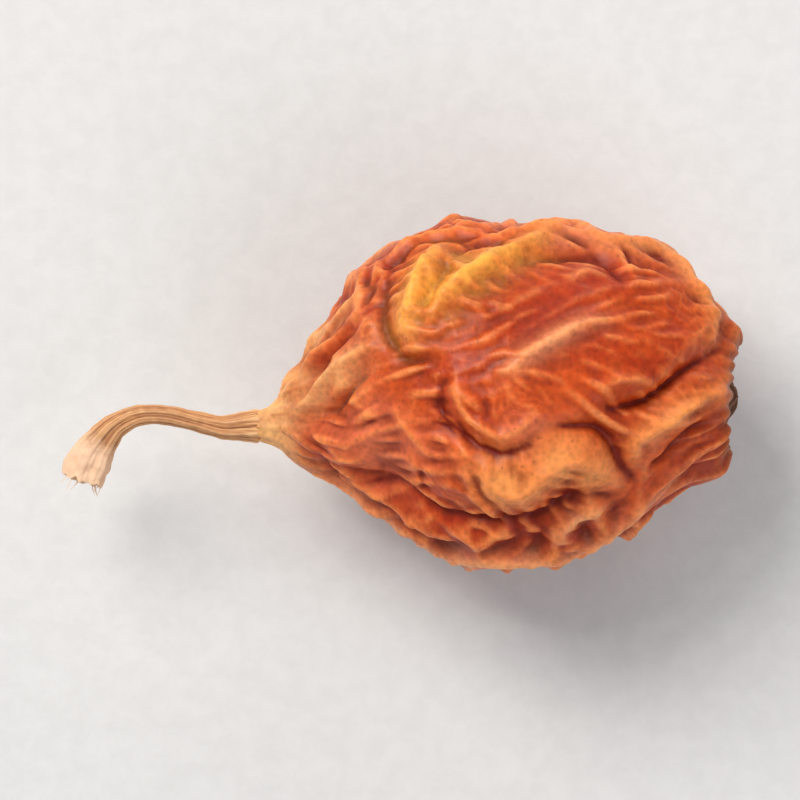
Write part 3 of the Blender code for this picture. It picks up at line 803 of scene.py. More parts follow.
    def tint_strength(self, where: PointGrid, tint: Tint, spread: float) -> np.ndarray:
        """Measures where the drawn ridges and patches of one tint lie.

        Args:
            where: Points of the mesh.
            tint: Which ridges and patches to read.
            spread: How much wider than the ridge the colour reaches.

        Returns:
            1 on them and 0 away from them.
        """
        folds = [fold for fold in self.drawn_folds(UPPER_RIDGES) if fold.tint is tint]
        strength = self.strongest(where, folds, spread)
        ragged = 1.0 + 0.35 * noise_at(where.points, 0.55, 121.0)
        for patch in UPPER_PATCHES:
            if patch.tint is tint:
                distance = np.linalg.norm(where.points - self.form.on_upper_side(*patch.place), axis=1)
                soft = patch.strength * np.exp(-(distance * ragged / patch.reach) ** 2)
                strength = np.maximum(strength, soft)
        return strength

    def held_back(self, height: np.ndarray) -> np.ndarray:
        """Rounds off the peaks where folds cross.

        Args:
            height: Heights of the relief.

        Returns:
            The same heights, with those above the start of the limit pressed together.
        """
        room = self.height_limit - self.limit_start
        over = np.maximum(height - self.limit_start, 0.0)
        return np.minimum(height, self.limit_start) + over / (1.0 + over / room)

    def fine_height(self, where: PointGrid) -> np.ndarray:
        """Raises the fine crinkles and the finest net between the wrinkles.

        Args:
            where: Points of the mesh.

        Returns:
            Height of both at each point.
        """
        points = where.points
        wave = self.packets(
            where, self.crinkle_count, self.crinkle_seed, self.crinkle_wave, self.crinkle_breadth,
            self.crinkle_length,
        )
        patches = np.clip(0.55 + 1.1 * noise_at(points, 0.9, 141.0), 0.05, 1.2)
        crinkles = self.crinkle_height * patches * (np.exp(0.9 * np.tanh(0.5 * wave) * 1.6) - 1.2)
        draw = random.Random(self.fine_seed)
        polar = np.array([math.acos(1.0 - 2.0 * draw.random()) for _ in range(self.fine_cells)])
        turn = np.array([2.0 * math.pi * draw.random() for _ in range(self.fine_cells)])
        warp = np.stack(
            [noise_at(points, self.fine_warp_length, 200.0 + 10.0 * axis) for axis in range(3)], axis=-1
        )
        first, second = self.two_nearest(points + self.fine_warp * warp, self.form.surface(polar, turn))
        border = 0.5 * (second - first)
        strength = np.clip(0.5 + 1.1 * noise_at(points, 1.2, 171.0), 0.0, 1.2)
        net = self.fine_ridge * strength * np.exp(-border / self.fine_ridge_width)
        calm_place = self.form.on_upper_side(*self.calm_spot)
        nearness = np.exp(-np.sum((points - calm_place) ** 2, axis=1) / self.calm_radius**2)
        calm = 1.0 - self.calm_share * nearness
        return (crinkles + net) * calm

    def height(self, where: PointGrid) -> np.ndarray:
        """Adds up the whole relief.

        Args:
            where: Points of the mesh, on the smooth form.

        Returns:
            How far the skin stands out from the smooth form at each point.
        """
        points = where.points
        from_stalk = self.form.end_distance(points, End.STALK)
        from_calyx = self.form.end_distance(points, End.CALYX)
        below = smoothstep(*self.flat_below, -points[:, 2] / self.form.half_height)
        from_calyx = from_calyx * (1.0 + self.pit_uneven * noise_at(points, 0.8, 33.0))
        calm = smoothstep(*self.calm_at_stalk, from_stalk)
        calm = calm * smoothstep(*(self.pit_radius + past for past in self.calm_at_pit), from_calyx)
        top = smoothstep(*self.weaker_on_top, points[:, 2] / self.form.half_height)
        net = self.net_height(points) * (1.0 - (1.0 - self.net_on_top) * top)
        net += self.wrinkles(where) * (1.0 - (1.0 - self.wrinkle_on_top) * top)
        flank_ridges, flank_grooves = self.flank_folds()
        upper_ridges, upper_grooves = self.drawn_folds(UPPER_RIDGES), self.drawn_folds(UPPER_GROOVES)
        beside = self.strongest(where, upper_ridges + upper_grooves, self.calm_reach)
        net *= 1.0 - self.calm_beside * beside
        others = self.blended(where, self.end_folds() + flank_ridges)
        others -= self.blended(where, flank_grooves)
        others *= 1.0 - self.calm_beside * beside
        folds = others + self.blended(where, upper_ridges) - self.blended(where, upper_grooves)
        lumps = self.lump_height * noise_at(points, self.lump_length, 21.0)
        height = self.held_back(net + folds) * calm * (1.0 - below) + lumps * (1.0 - below)
        neck = np.maximum(from_stalk - self.socket_radius - self.socket_rim, 0.0)
        height += self.neck_draw * np.exp(-neck / self.neck_fade)
        side, lift = self.form.middle_line(np.array([-self.form.half_length]))
        round_stalk = np.arctan2(points[:, 2] - lift[0], points[:, 1] - side[0])
        pleats = np.cos(self.neck_pleats * round_stalk + 2.0 * noise_at(points, 0.8, 91.0))
        lip = self.neck_lip + self.neck_pleat_height * pleats
        height += lip * np.exp(-neck / self.neck_lip_fade)
        ring = np.exp(-((neck - self.neck_ring) / self.neck_ring_width) ** 2)
        height += self.neck_ring_share * self.neck_pleat_height * pleats * ring
        inside = self.socket_radius + self.socket_rim - from_stalk
        height -= self.socket_depth * smoothstep(0.0, self.socket_rim, inside)
        height += self.far_draw * np.exp(-(from_calyx / self.far_fade) ** 2)
        lip = np.exp(-((from_calyx - self.pit_radius - self.pit_rim) / self.pit_lip_width) ** 2)
        height += self.pit_lip * lip
        height -= self.pit_depth * smoothstep(0.0, self.pit_rim, self.pit_radius - from_calyx)
        around = np.arctan2(points[:, 2], points[:, 1])
        pleats = np.cos(self.pit_pleats * around + 3.0 * noise_at(points, 0.9, 61.0))
        pit_wall = np.exp(-((from_calyx - self.pit_radius) / self.pit_wall_width) ** 2)
        height += self.pit_pleat_height * pleats * pit_wall * (points[:, 0] > 0.0)
        fine_fade = (1.0 - below) * smoothstep(*self.fine_at_stalk, from_stalk)
        fine_fade = fine_fade * smoothstep(self.pit_radius + self.fine_at_pit, self.pit_radius, from_calyx)
        return height + self.fine_height(where) * fine_fade

    def gathered(self, points: np.ndarray, skin: np.ndarray) -> np.ndarray:
        """Draws the end of the neck in, so that its mouth closes round the stalk.

        Args:
            points: Places on the smooth form.
            skin: The same places on the skin.

        Returns:
            The skin with its neck drawn in.
        """
        side, lift = self.form.middle_line(np.array([-self.form.half_length]))
        from_stalk = self.form.end_distance(points, End.STALK)
        share = 1.0 - self.neck_gather * (1.0 - smoothstep(self.socket_radius, self.gather_reach, from_stalk))
        axis = np.array([0.0, side[0], lift[0]])
        narrowed = axis + (skin - axis) * share[:, None]
        narrowed[:, 0] = skin[:, 0]
        return narrowed


def relief_of(mesh: bpy.types.Mesh, places: np.ndarray, rounds: int) -> np.ndarray:
    """Measures how far each point of a mesh stands out from its surroundings.

    Args:
        mesh: Mesh whose edges say which points are neighbours.
        places: Places of its points, or how far each was moved from a smooth form.
        rounds: How many times the surroundings are averaged: more rounds read broader forms.

    Returns:
        Height along the normal above the averaged surface, in the unit of the places.
    """
    count = len(places)
    edges = np.empty(2 * len(mesh.edges), dtype=np.int32)
    mesh.edges.foreach_get("vertices", edges)
    first, second = edges[0::2], edges[1::2]
    links = np.bincount(first, minlength=count) + np.bincount(second, minlength=count)
    soft = places.copy()
    for _ in range(rounds):
        around = np.stack(
            [
                np.bincount(first, soft[second, axis], count) + np.bincount(second, soft[first, axis], count)
                for axis in range(3)
            ],
            axis=-1,
        )
        soft = 0.5 * soft + 0.5 * around / links[:, None]
    normals = np.empty(3 * count, dtype=np.float32)
    mesh.vertex_normals.foreach_get("vector", normals)
    return np.sum((places - soft) * normals.reshape(-1, 3), axis=1)


def carry(mesh: bpy.types.Mesh, mark: Mark, values: np.ndarray) -> None:
    """Stores one value for each point of a mesh, for the finish to read.

    Args:
        mesh: Mesh that carries the values.
        mark: Name that they are stored under.
        values: One value for each point.
    """
    made = mesh.attributes.new(mark.value, "FLOAT", "POINT")
    made.data.foreach_set("value", np.clip(values, 0.0, 1.0).astype(np.float32))


def carry_relief(mesh: bpy.types.Mesh, relief: np.ndarray) -> None:
    """Stores the crests and the hollows of a relief.

    Args:
        mesh: Mesh that carries them.
        relief: Height at each point, with 1 for a full crest and -1 for a full hollow.
    """
    carry(mesh, Mark.CREST, relief)
    carry(mesh, Mark.HOLLOW_SHADE, -relief)


def carry_even(mesh: bpy.types.Mesh, values: dict[Mark, float]) -> None:
    """Stores values that are the same all over a mesh.

    Args:
        mesh: Mesh that carries them.
        values: Value of each mark.
    """
    for mark, value in values.items():
        carry(mesh, mark, np.full(len(mesh.vertices), value))


def face_out(bm: bmesh.types.BMesh, mesh: bpy.types.Mesh) -> bpy.types.Mesh:
    """Turns the faces of closed bodies outward, writes them to a mesh and frees the working copy.

    Args:
        bm: Working copy with the bodies.
        mesh: Mesh to write to.

    Returns:
        The same mesh.
    """
    bmesh.ops.recalc_face_normals(bm, faces=bm.faces)
    bm.to_mesh(mesh)
    bm.free()
    return mesh


def solid_mesh(name: str, places: np.ndarray, faces: list[tuple[int, ...]]) -> bpy.types.Mesh:
    """Makes a closed mesh with its faces turned outward.

    Args:
        name: Name of the mesh.
        places: Its points.
        faces: Its faces, as indices of the points.

    Returns:
        The mesh.
    """
    mesh = bpy.data.meshes.new(name)
    mesh.from_pydata(places, [], faces)
    bm = bmesh.new()
    bm.from_mesh(mesh)
    return face_out(bm, mesh)


def ring_faces(rings: int, around: int) -> list[tuple[int, ...]]:
    """Lists the faces between rings of points that lie one after another.

    Args:
        rings: Count of rings.
        around: Points on each ring.

    Returns:
        The faces, as indices of the points.
    """
    faces = []
    for ring in range(rings - 1):
        low, high = ring * around, (ring + 1) * around
        for step in range(around):
            after = (step + 1) % around
            faces.append((low + step, low + after, high + after, high + step))
    return faces


def place_piece(name: str, mesh: bpy.types.Mesh, finish: bpy.types.Material) -> bpy.types.Object:
    """Makes an object of a mesh in millimetres and puts it on the frame.

    Args:
        name: Name of the piece.
        mesh: Its mesh, in millimetres and in the part's frame.
        finish: Its material.

    Returns:
        The piece, riding on the part's body.
    """
    mesh.transform(Matrix.Scale(MM, 4))
    mesh.name = name
    mesh.materials.append(finish)
    mesh.shade_smooth()
    piece = bpy.data.objects.new(name, mesh)
    bpy.context.scene.collection.objects.link(piece)
    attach(piece, ROOT_BODY)
    log.info("%s: %d points, %d faces", name, len(mesh.vertices), len(mesh.polygons))
    return piece


@dataclass
class NodeSheet:
    """A node tree that is being drawn up, with short ways to add and join nodes."""

    tree: bpy.types.NodeTree

    def add(self, kind: str, **settings: object) -> bpy.types.Node:
        """Adds a node.

        Args:
            kind: Type of the node.
            settings: Properties of the node to set.

        Returns:
            The new node.
        """
        node = self.tree.nodes.new(kind)
        for key, value in settings.items():
            setattr(node, key, value)
        return node

    def feed(self, socket: bpy.types.NodeSocket, source: object) -> None:
        """Joins a socket to another one, or sets its plain value.

        Args:
            socket: Input to feed.
            source: Output socket, number or colour.
        """
        if isinstance(source, bpy.types.NodeSocket):
            self.tree.links.new(source, socket)
        else:
            socket.default_value = source

    def feed_all(self, node: bpy.types.Node, sources: dict[str, object]) -> None:
        """Feeds several inputs of a node.

        Args:
            node: Node to feed.
            sources: Output socket, number or colour for each input's name.
        """
        for label, source in sources.items():
            self.feed(node.inputs[label], source)

    def sum(
        self, kind: str, first: object, second: object = 0.0, clamp: bool = False
    ) -> bpy.types.NodeSocket:
        """Adds a Math node.

        Args:
            kind: Operation of the node.
            first: First number or socket.
            second: Second number or socket.
            clamp: Whether the result stays between 0 and 1.

        Returns:
            Its output.
        """
        node = self.add("ShaderNodeMath", operation=kind, use_clamp=clamp)
        self.feed(node.inputs[0], first)
        self.feed(node.inputs[1], second)
        return node.outputs[0]

    def mix(self, share: object, first: object, second: object, blend: str = "MIX") -> bpy.types.NodeSocket:
        """Mixes two colours.

        Args:
            share: How much of the second colour, as a number or socket.
            first: First colour or socket.
            second: Second colour or socket.
            blend: How the second colour is laid over the first.

        Returns:
            The mixed colour.
        """
        node = self.add("ShaderNodeMix", data_type="RGBA", blend_type=blend)
        self.feed(node.inputs[0], share)
        self.feed(node.inputs[6], first)
        self.feed(node.inputs[7], second)
        return node.outputs[2]

    def spread(self, value: object, low: float, high: float, to_low: float = 0.0, to_high: float = 1.0) -> (
        bpy.types.NodeSocket
    ):
        """Maps a range of values to another one, smoothly and held at its ends.

        Args:
            value: Socket to read.
            low: Value that becomes to_low.
            high: Value that becomes to_high.
            to_low: Lowest result.
            to_high: Highest result.

        Returns:
            The mapped value.
        """
        node = self.add("ShaderNodeMapRange", interpolation_type="SMOOTHSTEP", clamp=True)
        for index, source in enumerate((value, low, high, to_low, to_high)):
            self.feed(node.inputs[index], source)
        return node.outputs[0]

    def mark(self, mark: Mark) -> bpy.types.NodeSocket:
        """Reads a value that the mesh carries."""
        return self.add("ShaderNodeAttribute", attribute_name=mark.value).outputs["Fac"]

    def place_in_mm(self) -> bpy.types.NodeSocket:
        """Gives the place on the piece, in millimetres."""
        place = self.add("ShaderNodeTexCoord").outputs["Object"]
        node = self.add("ShaderNodeVectorMath", operation="SCALE")
        self.feed(node.inputs[0], place)
        node.inputs["Scale"].default_value = 1.0 / MM
        return node.outputs[0]

    def noise(
        self, place: object, scale: float, detail: float = 3.0, rough: float = 0.55, warp: float = 0.0
    ) -> bpy.types.NodeSocket:
        """Adds smooth noise.

        Args:
            place: Socket with the place.
            scale: Bumps for each unit of the place.
            detail: How many finer layers it has.
            rough: Strength of the finer layers.
            warp: How much the noise is bent by itself.

        Returns:
            Its value, about 0.5 on average.
        """
        node = self.add("ShaderNodeTexNoise", noise_dimensions="3D")
        self.feed_all(node, {
            "Vector": place, "Scale": scale, "Detail": detail, "Roughness": rough, "Distortion": warp,
        })
        return node.outputs["Fac"]


@dataclass(frozen=True)
class DryGrain:
    """Node group for the fine grain of a dried surface, used by every finish."""

    name: str = "dry_grain"

    def tree(self) -> bpy.types.NodeTree:
        """Gives the group, and draws it up the first time.

        Returns:
            Group with the inputs Place and Scale, and the outputs Blotch, Mottle, Speck and Grain.
        """
        if self.name in bpy.data.node_groups:
            return bpy.data.node_groups[self.name]
        group = bpy.data.node_groups.new(self.name, "ShaderNodeTree")
        group.interface.new_socket("Place", in_out="INPUT", socket_type="NodeSocketVector")
        scale = group.interface.new_socket("Scale", in_out="INPUT", socket_type="NodeSocketFloat")
        scale.default_value = 1.0
        for label in ("Blotch", "Mottle", "Speck", "Grain"):
            group.interface.new_socket(label, in_out="OUTPUT", socket_type="NodeSocketFloat")
        sheet = NodeSheet(group)
        entry = sheet.add("NodeGroupInput")
        leave = sheet.add("NodeGroupOutput")
        scaled = sheet.add("ShaderNodeVectorMath", operation="SCALE")
        sheet.feed(scaled.inputs[0], entry.outputs["Place"])
        sheet.feed(scaled.inputs["Scale"], entry.outputs["Scale"])
        place = scaled.outputs[0]
        blotch = sheet.noise(place, 0.45, 4.0, 0.6, 0.4)
        mottle = sheet.noise(place, 2.6, 5.0, 0.62, 0.3)
        fine = sheet.noise(place, 11.0, 4.0, 0.6)
        dots = sheet.add("ShaderNodeTexVoronoi", feature="F1", voronoi_dimensions="3D")
        sheet.feed(dots.inputs["Vector"], place)
        dots.inputs["Scale"].default_value = 3.6
        speck = sheet.spread(dots.outputs["Distance"], 0.16, 0.04)
        pebble = sheet.add("ShaderNodeTexVoronoi", feature="SMOOTH_F1", voronoi_dimensions="3D")
        sheet.feed(pebble.inputs["Vector"], place)
        pebble.inputs["Scale"].default_value = 9.0
        pebble.inputs["Smoothness"].default_value = 0.5
        grain = sheet.sum("ADD", sheet.sum("MULTIPLY", fine, 0.6),
                          sheet.sum("MULTIPLY", pebble.outputs["Distance"], 0.5))
        for label, output in (("Blotch", blotch), ("Mottle", mottle), ("Speck", speck), ("Grain", grain)):
            sheet.feed(leave.inputs[label], output)
        return group

    def use(self, sheet: NodeSheet, place: bpy.types.NodeSocket, scale: float) -> bpy.types.Node:
        """Puts the group in a material.

        Args:
            sheet: Sheet of the material.
            place: Socket with the place in millimetres.
            scale: How much finer than usual the grain is.

        Returns:
            The group's node.
        """
        node = sheet.add("ShaderNodeGroup", node_tree=self.tree())
        sheet.feed(node.inputs["Place"], place)
        node.inputs["Scale"].default_value = scale
        return node


@dataclass(frozen=True)
class PaintedCreaseShading:
    """Node group that paints shade into hollows and lightens crests, partly as painted highlight, used by
    every grown finish.
    """

    name: str = "crease_tint"

    def tree(self) -> bpy.types.NodeTree:
        """Gives the group, and draws it up the first time.

        Returns:
            Group with the inputs Body, Crest Colour, Hollow Colour, Crest, Hollow and Mottle, and the
            output Colour.
        """
        if self.name in bpy.data.node_groups:
            return bpy.data.node_groups[self.name]
        group = bpy.data.node_groups.new(self.name, "ShaderNodeTree")
        for label in ("Body", "Crest Colour", "Hollow Colour"):
            group.interface.new_socket(label, in_out="INPUT", socket_type="NodeSocketColor")
        for label in ("Crest", "Hollow", "Mottle"):
            group.interface.new_socket(label, in_out="INPUT", socket_type="NodeSocketFloat")
        group.interface.new_socket("Colour", in_out="OUTPUT", socket_type="NodeSocketColor")
        sheet = NodeSheet(group)
        entry = sheet.add("NodeGroupInput")
        leave = sheet.add("NodeGroupOutput")
        # Crests turn lighter: a paler tone, partly painted highlight.
        patch = sheet.spread(entry.outputs["Mottle"], 0.30, 0.68, 0.45, 1.0)
        high = sheet.sum("MULTIPLY", entry.outputs["Crest"], patch, clamp=True)
        raised = sheet.mix(high, entry.outputs["Body"], entry.outputs["Crest Colour"])
        # Hollows turn darker: painted shade.
        low = sheet.sum("MULTIPLY", entry.outputs["Hollow"],
                        sheet.spread(entry.outputs["Mottle"], 0.25, 0.60, 0.75, 1.0), clamp=True)
        sheet.feed(leave.inputs["Colour"], sheet.mix(low, raised, entry.outputs["Hollow Colour"]))
        return group

    def use(
        self, sheet: NodeSheet, body: object, colours: tuple[Colour, Colour], crest: object, hollow: object,
        mottle: object,
    ) -> bpy.types.NodeSocket:
        """Puts the group in a material.

        Args:
            sheet: Sheet of the material.
            body: Colour of the surface between crests and hollows.
            colours: Colour of the crests, and the painted shade colour of the hollows.
            crest: How much each place is a crest.
            hollow: How much each place is a hollow, and so how much painted shade it gets.
            mottle: Noise that breaks both up.

        Returns:
            The tinted colour.
        """
        node = sheet.add("ShaderNodeGroup", node_tree=self.tree())
        sheet.feed_all(node, {
            "Body": body, "Crest Colour": colours[0], "Hollow Colour": colours[1], "Crest": crest,
            "Hollow": hollow, "Mottle": mottle,
        })
        return node.outputs["Colour"]


def new_finish(name: str) -> tuple[bpy.types.Material, NodeSheet, bpy.types.Node]:
    """Starts a material.

    Args:
        name: Name of the material.

    Returns:
        The material, its sheet and its Principled shader.
    """
    made = bpy.data.materials.new(name)
    made.use_nodes = True
    return made, NodeSheet(made.node_tree), made.node_tree.nodes["Principled BSDF"]


def add_bump(sheet: NodeSheet, shader: bpy.types.Node, height: object, strength: float, depth: float) -> None:
    """Gives a shader a fine relief.

    Args:
        sheet: Sheet of the material.
        shader: Its Principled shader.
        height: Socket with the height, 0 to 1.
        strength: Share of the relief that shows.
        depth: Height of the relief, in millimetres.
    """
    bump = sheet.add("ShaderNodeBump")
    bump.inputs["Strength"].default_value = strength
    bump.inputs["Distance"].default_value = depth * MM
    sheet.feed(bump.inputs["Height"], height)
    sheet.feed(shader.inputs["Normal"], bump.outputs["Normal"])


@dataclass(frozen=True)
class SkinFinish:
    """Dried skin: orange-red flesh colour, peach crests that are partly painted highlight, painted shade in
    the hollows and on the lower sides, painted highlight and light along rims, ridges and lumps, and a satin
    gloss.
    """

    red: Colour = (0.46, 0.034, 0.004, 1.0)
    orange: Colour = (0.70, 0.092, 0.009, 1.0)
    # Crests: the skin's paler tone, partly painted highlight.
    crest: Colour = (0.98, 0.29, 0.078, 1.0)
    # Painted shade in the hollows.
    hollow: Colour = (0.19, 0.010, 0.002, 1.0)
    gold: Colour = (1.00, 0.46, 0.065, 1.0)
    tan: Colour = (0.96, 0.48, 0.18, 1.0)
    # Painted highlight along rims and ridges.
    pale: Colour = (1.00, 0.42, 0.18, 1.0)
    lit: Colour = (1.00, 0.38, 0.10, 1.0)
    # Pink skin tone, partly painted highlight along the top edge.
    blush_and_highlight: Colour = (0.88, 0.24, 0.108, 1.0)
    # Dark red: painted shade in the grooves and on the near rim, and a darker red on the crown.
    deep: Colour = (0.36, 0.018, 0.002, 1.0)
    # Painted shade on the lower sides.
    flank: Colour = (0.30, 0.036, 0.016, 1.0)
    pit: Colour = (0.12, 0.026, 0.011, 1.0)
    speck: Colour = (0.20, 0.030, 0.012, 1.0)

    def build(self) -> bpy.types.Material:
        """Draws up the skin's material.

        Returns:
            The material.
        """
        made, sheet, shader = new_finish("berry_skin")
        place = sheet.place_in_mm()
        grain = DryGrain().use(sheet, place, 1.0)
        blotch, mottle = grain.outputs["Blotch"], grain.outputs["Mottle"]
        fine = grain.outputs["Grain"]
        ripe = sheet.spread(sheet.sum("ADD", sheet.sum("MULTIPLY", blotch, 0.6),
                                      sheet.sum("MULTIPLY", mottle, 0.4)), 0.36, 0.62)
        colour = sheet.mix(ripe, self.red, self.orange)
        # Painted shade: the lower sides turn dark red-brown, broken up by blotches.
        flank = sheet.sum("MULTIPLY", sheet.mark(Mark.FLANK_SHADE), sheet.spread(blotch, 0.30, 0.65, 0.55, 1.0))
        colour = sheet.mix(flank, colour, self.flank)
        # Lit patches lay painted light, blush patches pink skin that is partly painted highlight, and deep
        # patches painted shade in the grooves and on the near rim and a darker red on the crown.
        for mark, tone, share in (
            (Mark.LIT, self.lit, 0.92), (Mark.BLUSH_AND_HIGHLIGHT, self.blush_and_highlight, 0.80), (Mark.DEEP, self.deep, 0.85),
        ):
            colour = sheet.mix(sheet.sum("MULTIPLY", sheet.mark(mark), share), colour, tone)
        # Painted shade darkens the hollows, and the crests turn paler, partly as painted highlight.
        colour = PaintedCreaseShading().use(
            sheet, colour, (self.crest, self.hollow), sheet.mark(Mark.CREST), sheet.mark(Mark.HOLLOW_SHADE), mottle
        )
        # The pale mark lays painted highlight; gold, tan, neck and pit are the skin's own colours.
        for mark, tone, share in (
            (Mark.PALE_HIGHLIGHT, self.pale, 0.80), (Mark.GOLD, self.gold, 0.95), (Mark.TAN, self.tan, 0.90),
            (Mark.NECK, self.tan, 0.92), (Mark.PIT, self.pit, 0.90),
        ):
            patch = sheet.spread(mottle, 0.28, 0.62, 0.50, 1.0)
            amount = sheet.sum("MULTIPLY", sheet.sum("MULTIPLY", sheet.mark(mark), patch), share, clamp=True)
            colour = sheet.mix(amount, colour, tone)
        colour = sheet.mix(sheet.sum("MULTIPLY", grain.outputs["Speck"], 0.35), colour, self.speck)
        tone_shift = sheet.spread(fine, 0.30, 0.75, 0.86, 1.12)
        bright = sheet.add("ShaderNodeHueSaturation")
        sheet.feed(bright.inputs["Value"], tone_shift)
        sheet.feed(bright.inputs["Color"], colour)
        sheet.feed(shader.inputs["Base Color"], bright.outputs["Color"])
        dull = sheet.sum("ADD", sheet.spread(mottle, 0.30, 0.70, 0.38, 0.56),
                         sheet.sum("MULTIPLY", sheet.mark(Mark.HOLLOW_SHADE), 0.20))
        smooth = sheet.sum("MULTIPLY", sheet.mark(Mark.CREST), 0.05)
        sheet.feed(shader.inputs["Roughness"], sheet.sum("SUBTRACT", dull, smooth))
        sheet.feed_all(shader, {
            "Subsurface Weight": 0.22, "Subsurface Radius": (1.0, 0.32, 0.12),
            "Subsurface Scale": 0.45 * MM, "Specular IOR Level": 0.17, "Coat Weight": 0.16,
            "Coat Roughness": 0.25,
        })
        add_bump(sheet, shader, fine, 0.55, 0.030)
        return made


@dataclass(frozen=True)
class StalkFinish:
    """Dry stalk: golden tan, paler on its ribs, partly as painted highlight, with painted shade between them,
    cream where it is torn.
    """

    tan: Colour = (0.52, 0.215, 0.080, 1.0)
    amber: Colour = (0.66, 0.29, 0.105, 1.0)
    # Ribs: paler, partly painted highlight.
    crest: Colour = (0.88, 0.52, 0.25, 1.0)
    # Painted shade between the ribs, also the colour of the dark specks.
    hollow: Colour = (0.19, 0.060, 0.021, 1.0)
    foot: Colour = (0.86, 0.41, 0.155, 1.0)
    cream: Colour = (0.94, 0.60, 0.38, 1.0)
    pith: Colour = (0.56, 0.34, 0.19, 1.0)

    def build(self) -> bpy.types.Material:
        """Draws up the stalk's material.

        Returns:
            The material.
        """
        made, sheet, shader = new_finish("stem_bark")
        grain = DryGrain().use(sheet, sheet.place_in_mm(), 2.2)
        mottle = grain.outputs["Mottle"]
        along = sheet.mark(Mark.ALONG)
        colour = sheet.mix(sheet.spread(grain.outputs["Blotch"], 0.35, 0.65), self.tan, self.amber)
        colour = sheet.mix(sheet.spread(along, 0.40, 0.14), colour, self.foot)
        # Painted shade between the ribs, and paler ribs that are partly painted highlight.
        colour = PaintedCreaseShading().use(
            sheet, colour, (self.crest, self.hollow), sheet.mark(Mark.CREST), sheet.mark(Mark.HOLLOW_SHADE), mottle
        )
        edge = sheet.sum("ADD", along, sheet.sum("MULTIPLY", mottle, 0.10))
        colour = sheet.mix(sheet.spread(edge, 0.84, 0.93), colour, self.cream)
        colour = sheet.mix(sheet.sum("MULTIPLY", sheet.mark(Mark.PIT), 0.8), colour, self.pith)
        colour = sheet.mix(sheet.sum("MULTIPLY", grain.outputs["Speck"], 0.25), colour, self.hollow)
        sheet.feed(shader.inputs["Base Color"], colour)
        sheet.feed(shader.inputs["Roughness"], sheet.spread(mottle, 0.30, 0.70, 0.50, 0.78))
        sheet.feed_all(shader, {
            "Subsurface Weight": 0.10, "Subsurface Radius": (1.0, 0.6, 0.3), "Subsurface Scale": 0.2 * MM,
        })
        add_bump(sheet, shader, grain.outputs["Grain"], 0.6, 0.012)
        return made


@dataclass(frozen=True)
class SepalFinish:
    """Dry sepals: dark brown, paler on their crests and edges, partly as painted highlight, with painted
    shade in their hollows.
    """

    body: Colour = (0.060, 0.021, 0.012, 1.0)
    warm: Colour = (0.135, 0.044, 0.019, 1.0)
    # Crests and edges: paler, partly painted highlight.
    crest: Colour = (0.36, 0.170, 0.085, 1.0)
    # Painted shade in the hollows.
    hollow: Colour = (0.014, 0.006, 0.004, 1.0)

    def build(self) -> bpy.types.Material:
        """Draws up the sepals' material.

        Returns:
            The material.
        """
        made, sheet, shader = new_finish("calyx_dry")
        grain = DryGrain().use(sheet, sheet.place_in_mm(), 2.6)
        mottle = grain.outputs["Mottle"]
        colour = sheet.mix(sheet.spread(grain.outputs["Blotch"], 0.35, 0.65), self.body, self.warm)
        # Painted shade in the hollows; paler crests, partly painted highlight.
        colour = PaintedCreaseShading().use(
            sheet, colour, (self.crest, self.hollow), sheet.mark(Mark.CREST), sheet.mark(Mark.HOLLOW_SHADE), mottle
        )
        sheet.feed(shader.inputs["Base Color"], colour)
        sheet.feed(shader.inputs["Roughness"], sheet.spread(mottle, 0.30, 0.70, 0.62, 0.88))
        sheet.feed_all(shader, {
            "Specular IOR Level": 0.25, "Sheen Weight": 0.06, "Sheen Roughness": 0.5,
            "Sheen Tint": (0.9, 0.8, 0.7, 1.0),
        })
        add_bump(sheet, shader, grain.outputs["Grain"], 0.6, 0.015)
        return made


@dataclass(frozen=True)
class PaperFinish:
    """Pale matt paper of the floor."""

    bright: Colour = (0.80, 0.79, 0.77, 1.0)
    soft: Colour = (0.76, 0.75, 0.73, 1.0)

    def build(self) -> bpy.types.Material:
        """Draws up the floor's material.

        Returns:
            The material.
        """
        made, sheet, shader = new_finish("pale_paper")
        grain = DryGrain().use(sheet, sheet.place_in_mm(), 0.9)
        colour = sheet.mix(sheet.spread(grain.outputs["Mottle"], 0.3, 0.7), self.bright, self.soft)
        sheet.feed_all(shader, {"Base Color": colour, "Roughness": 0.9, "Specular IOR Level": 0.2})
        add_bump(sheet, shader, grain.outputs["Mottle"], 0.25, 0.05)
        return made


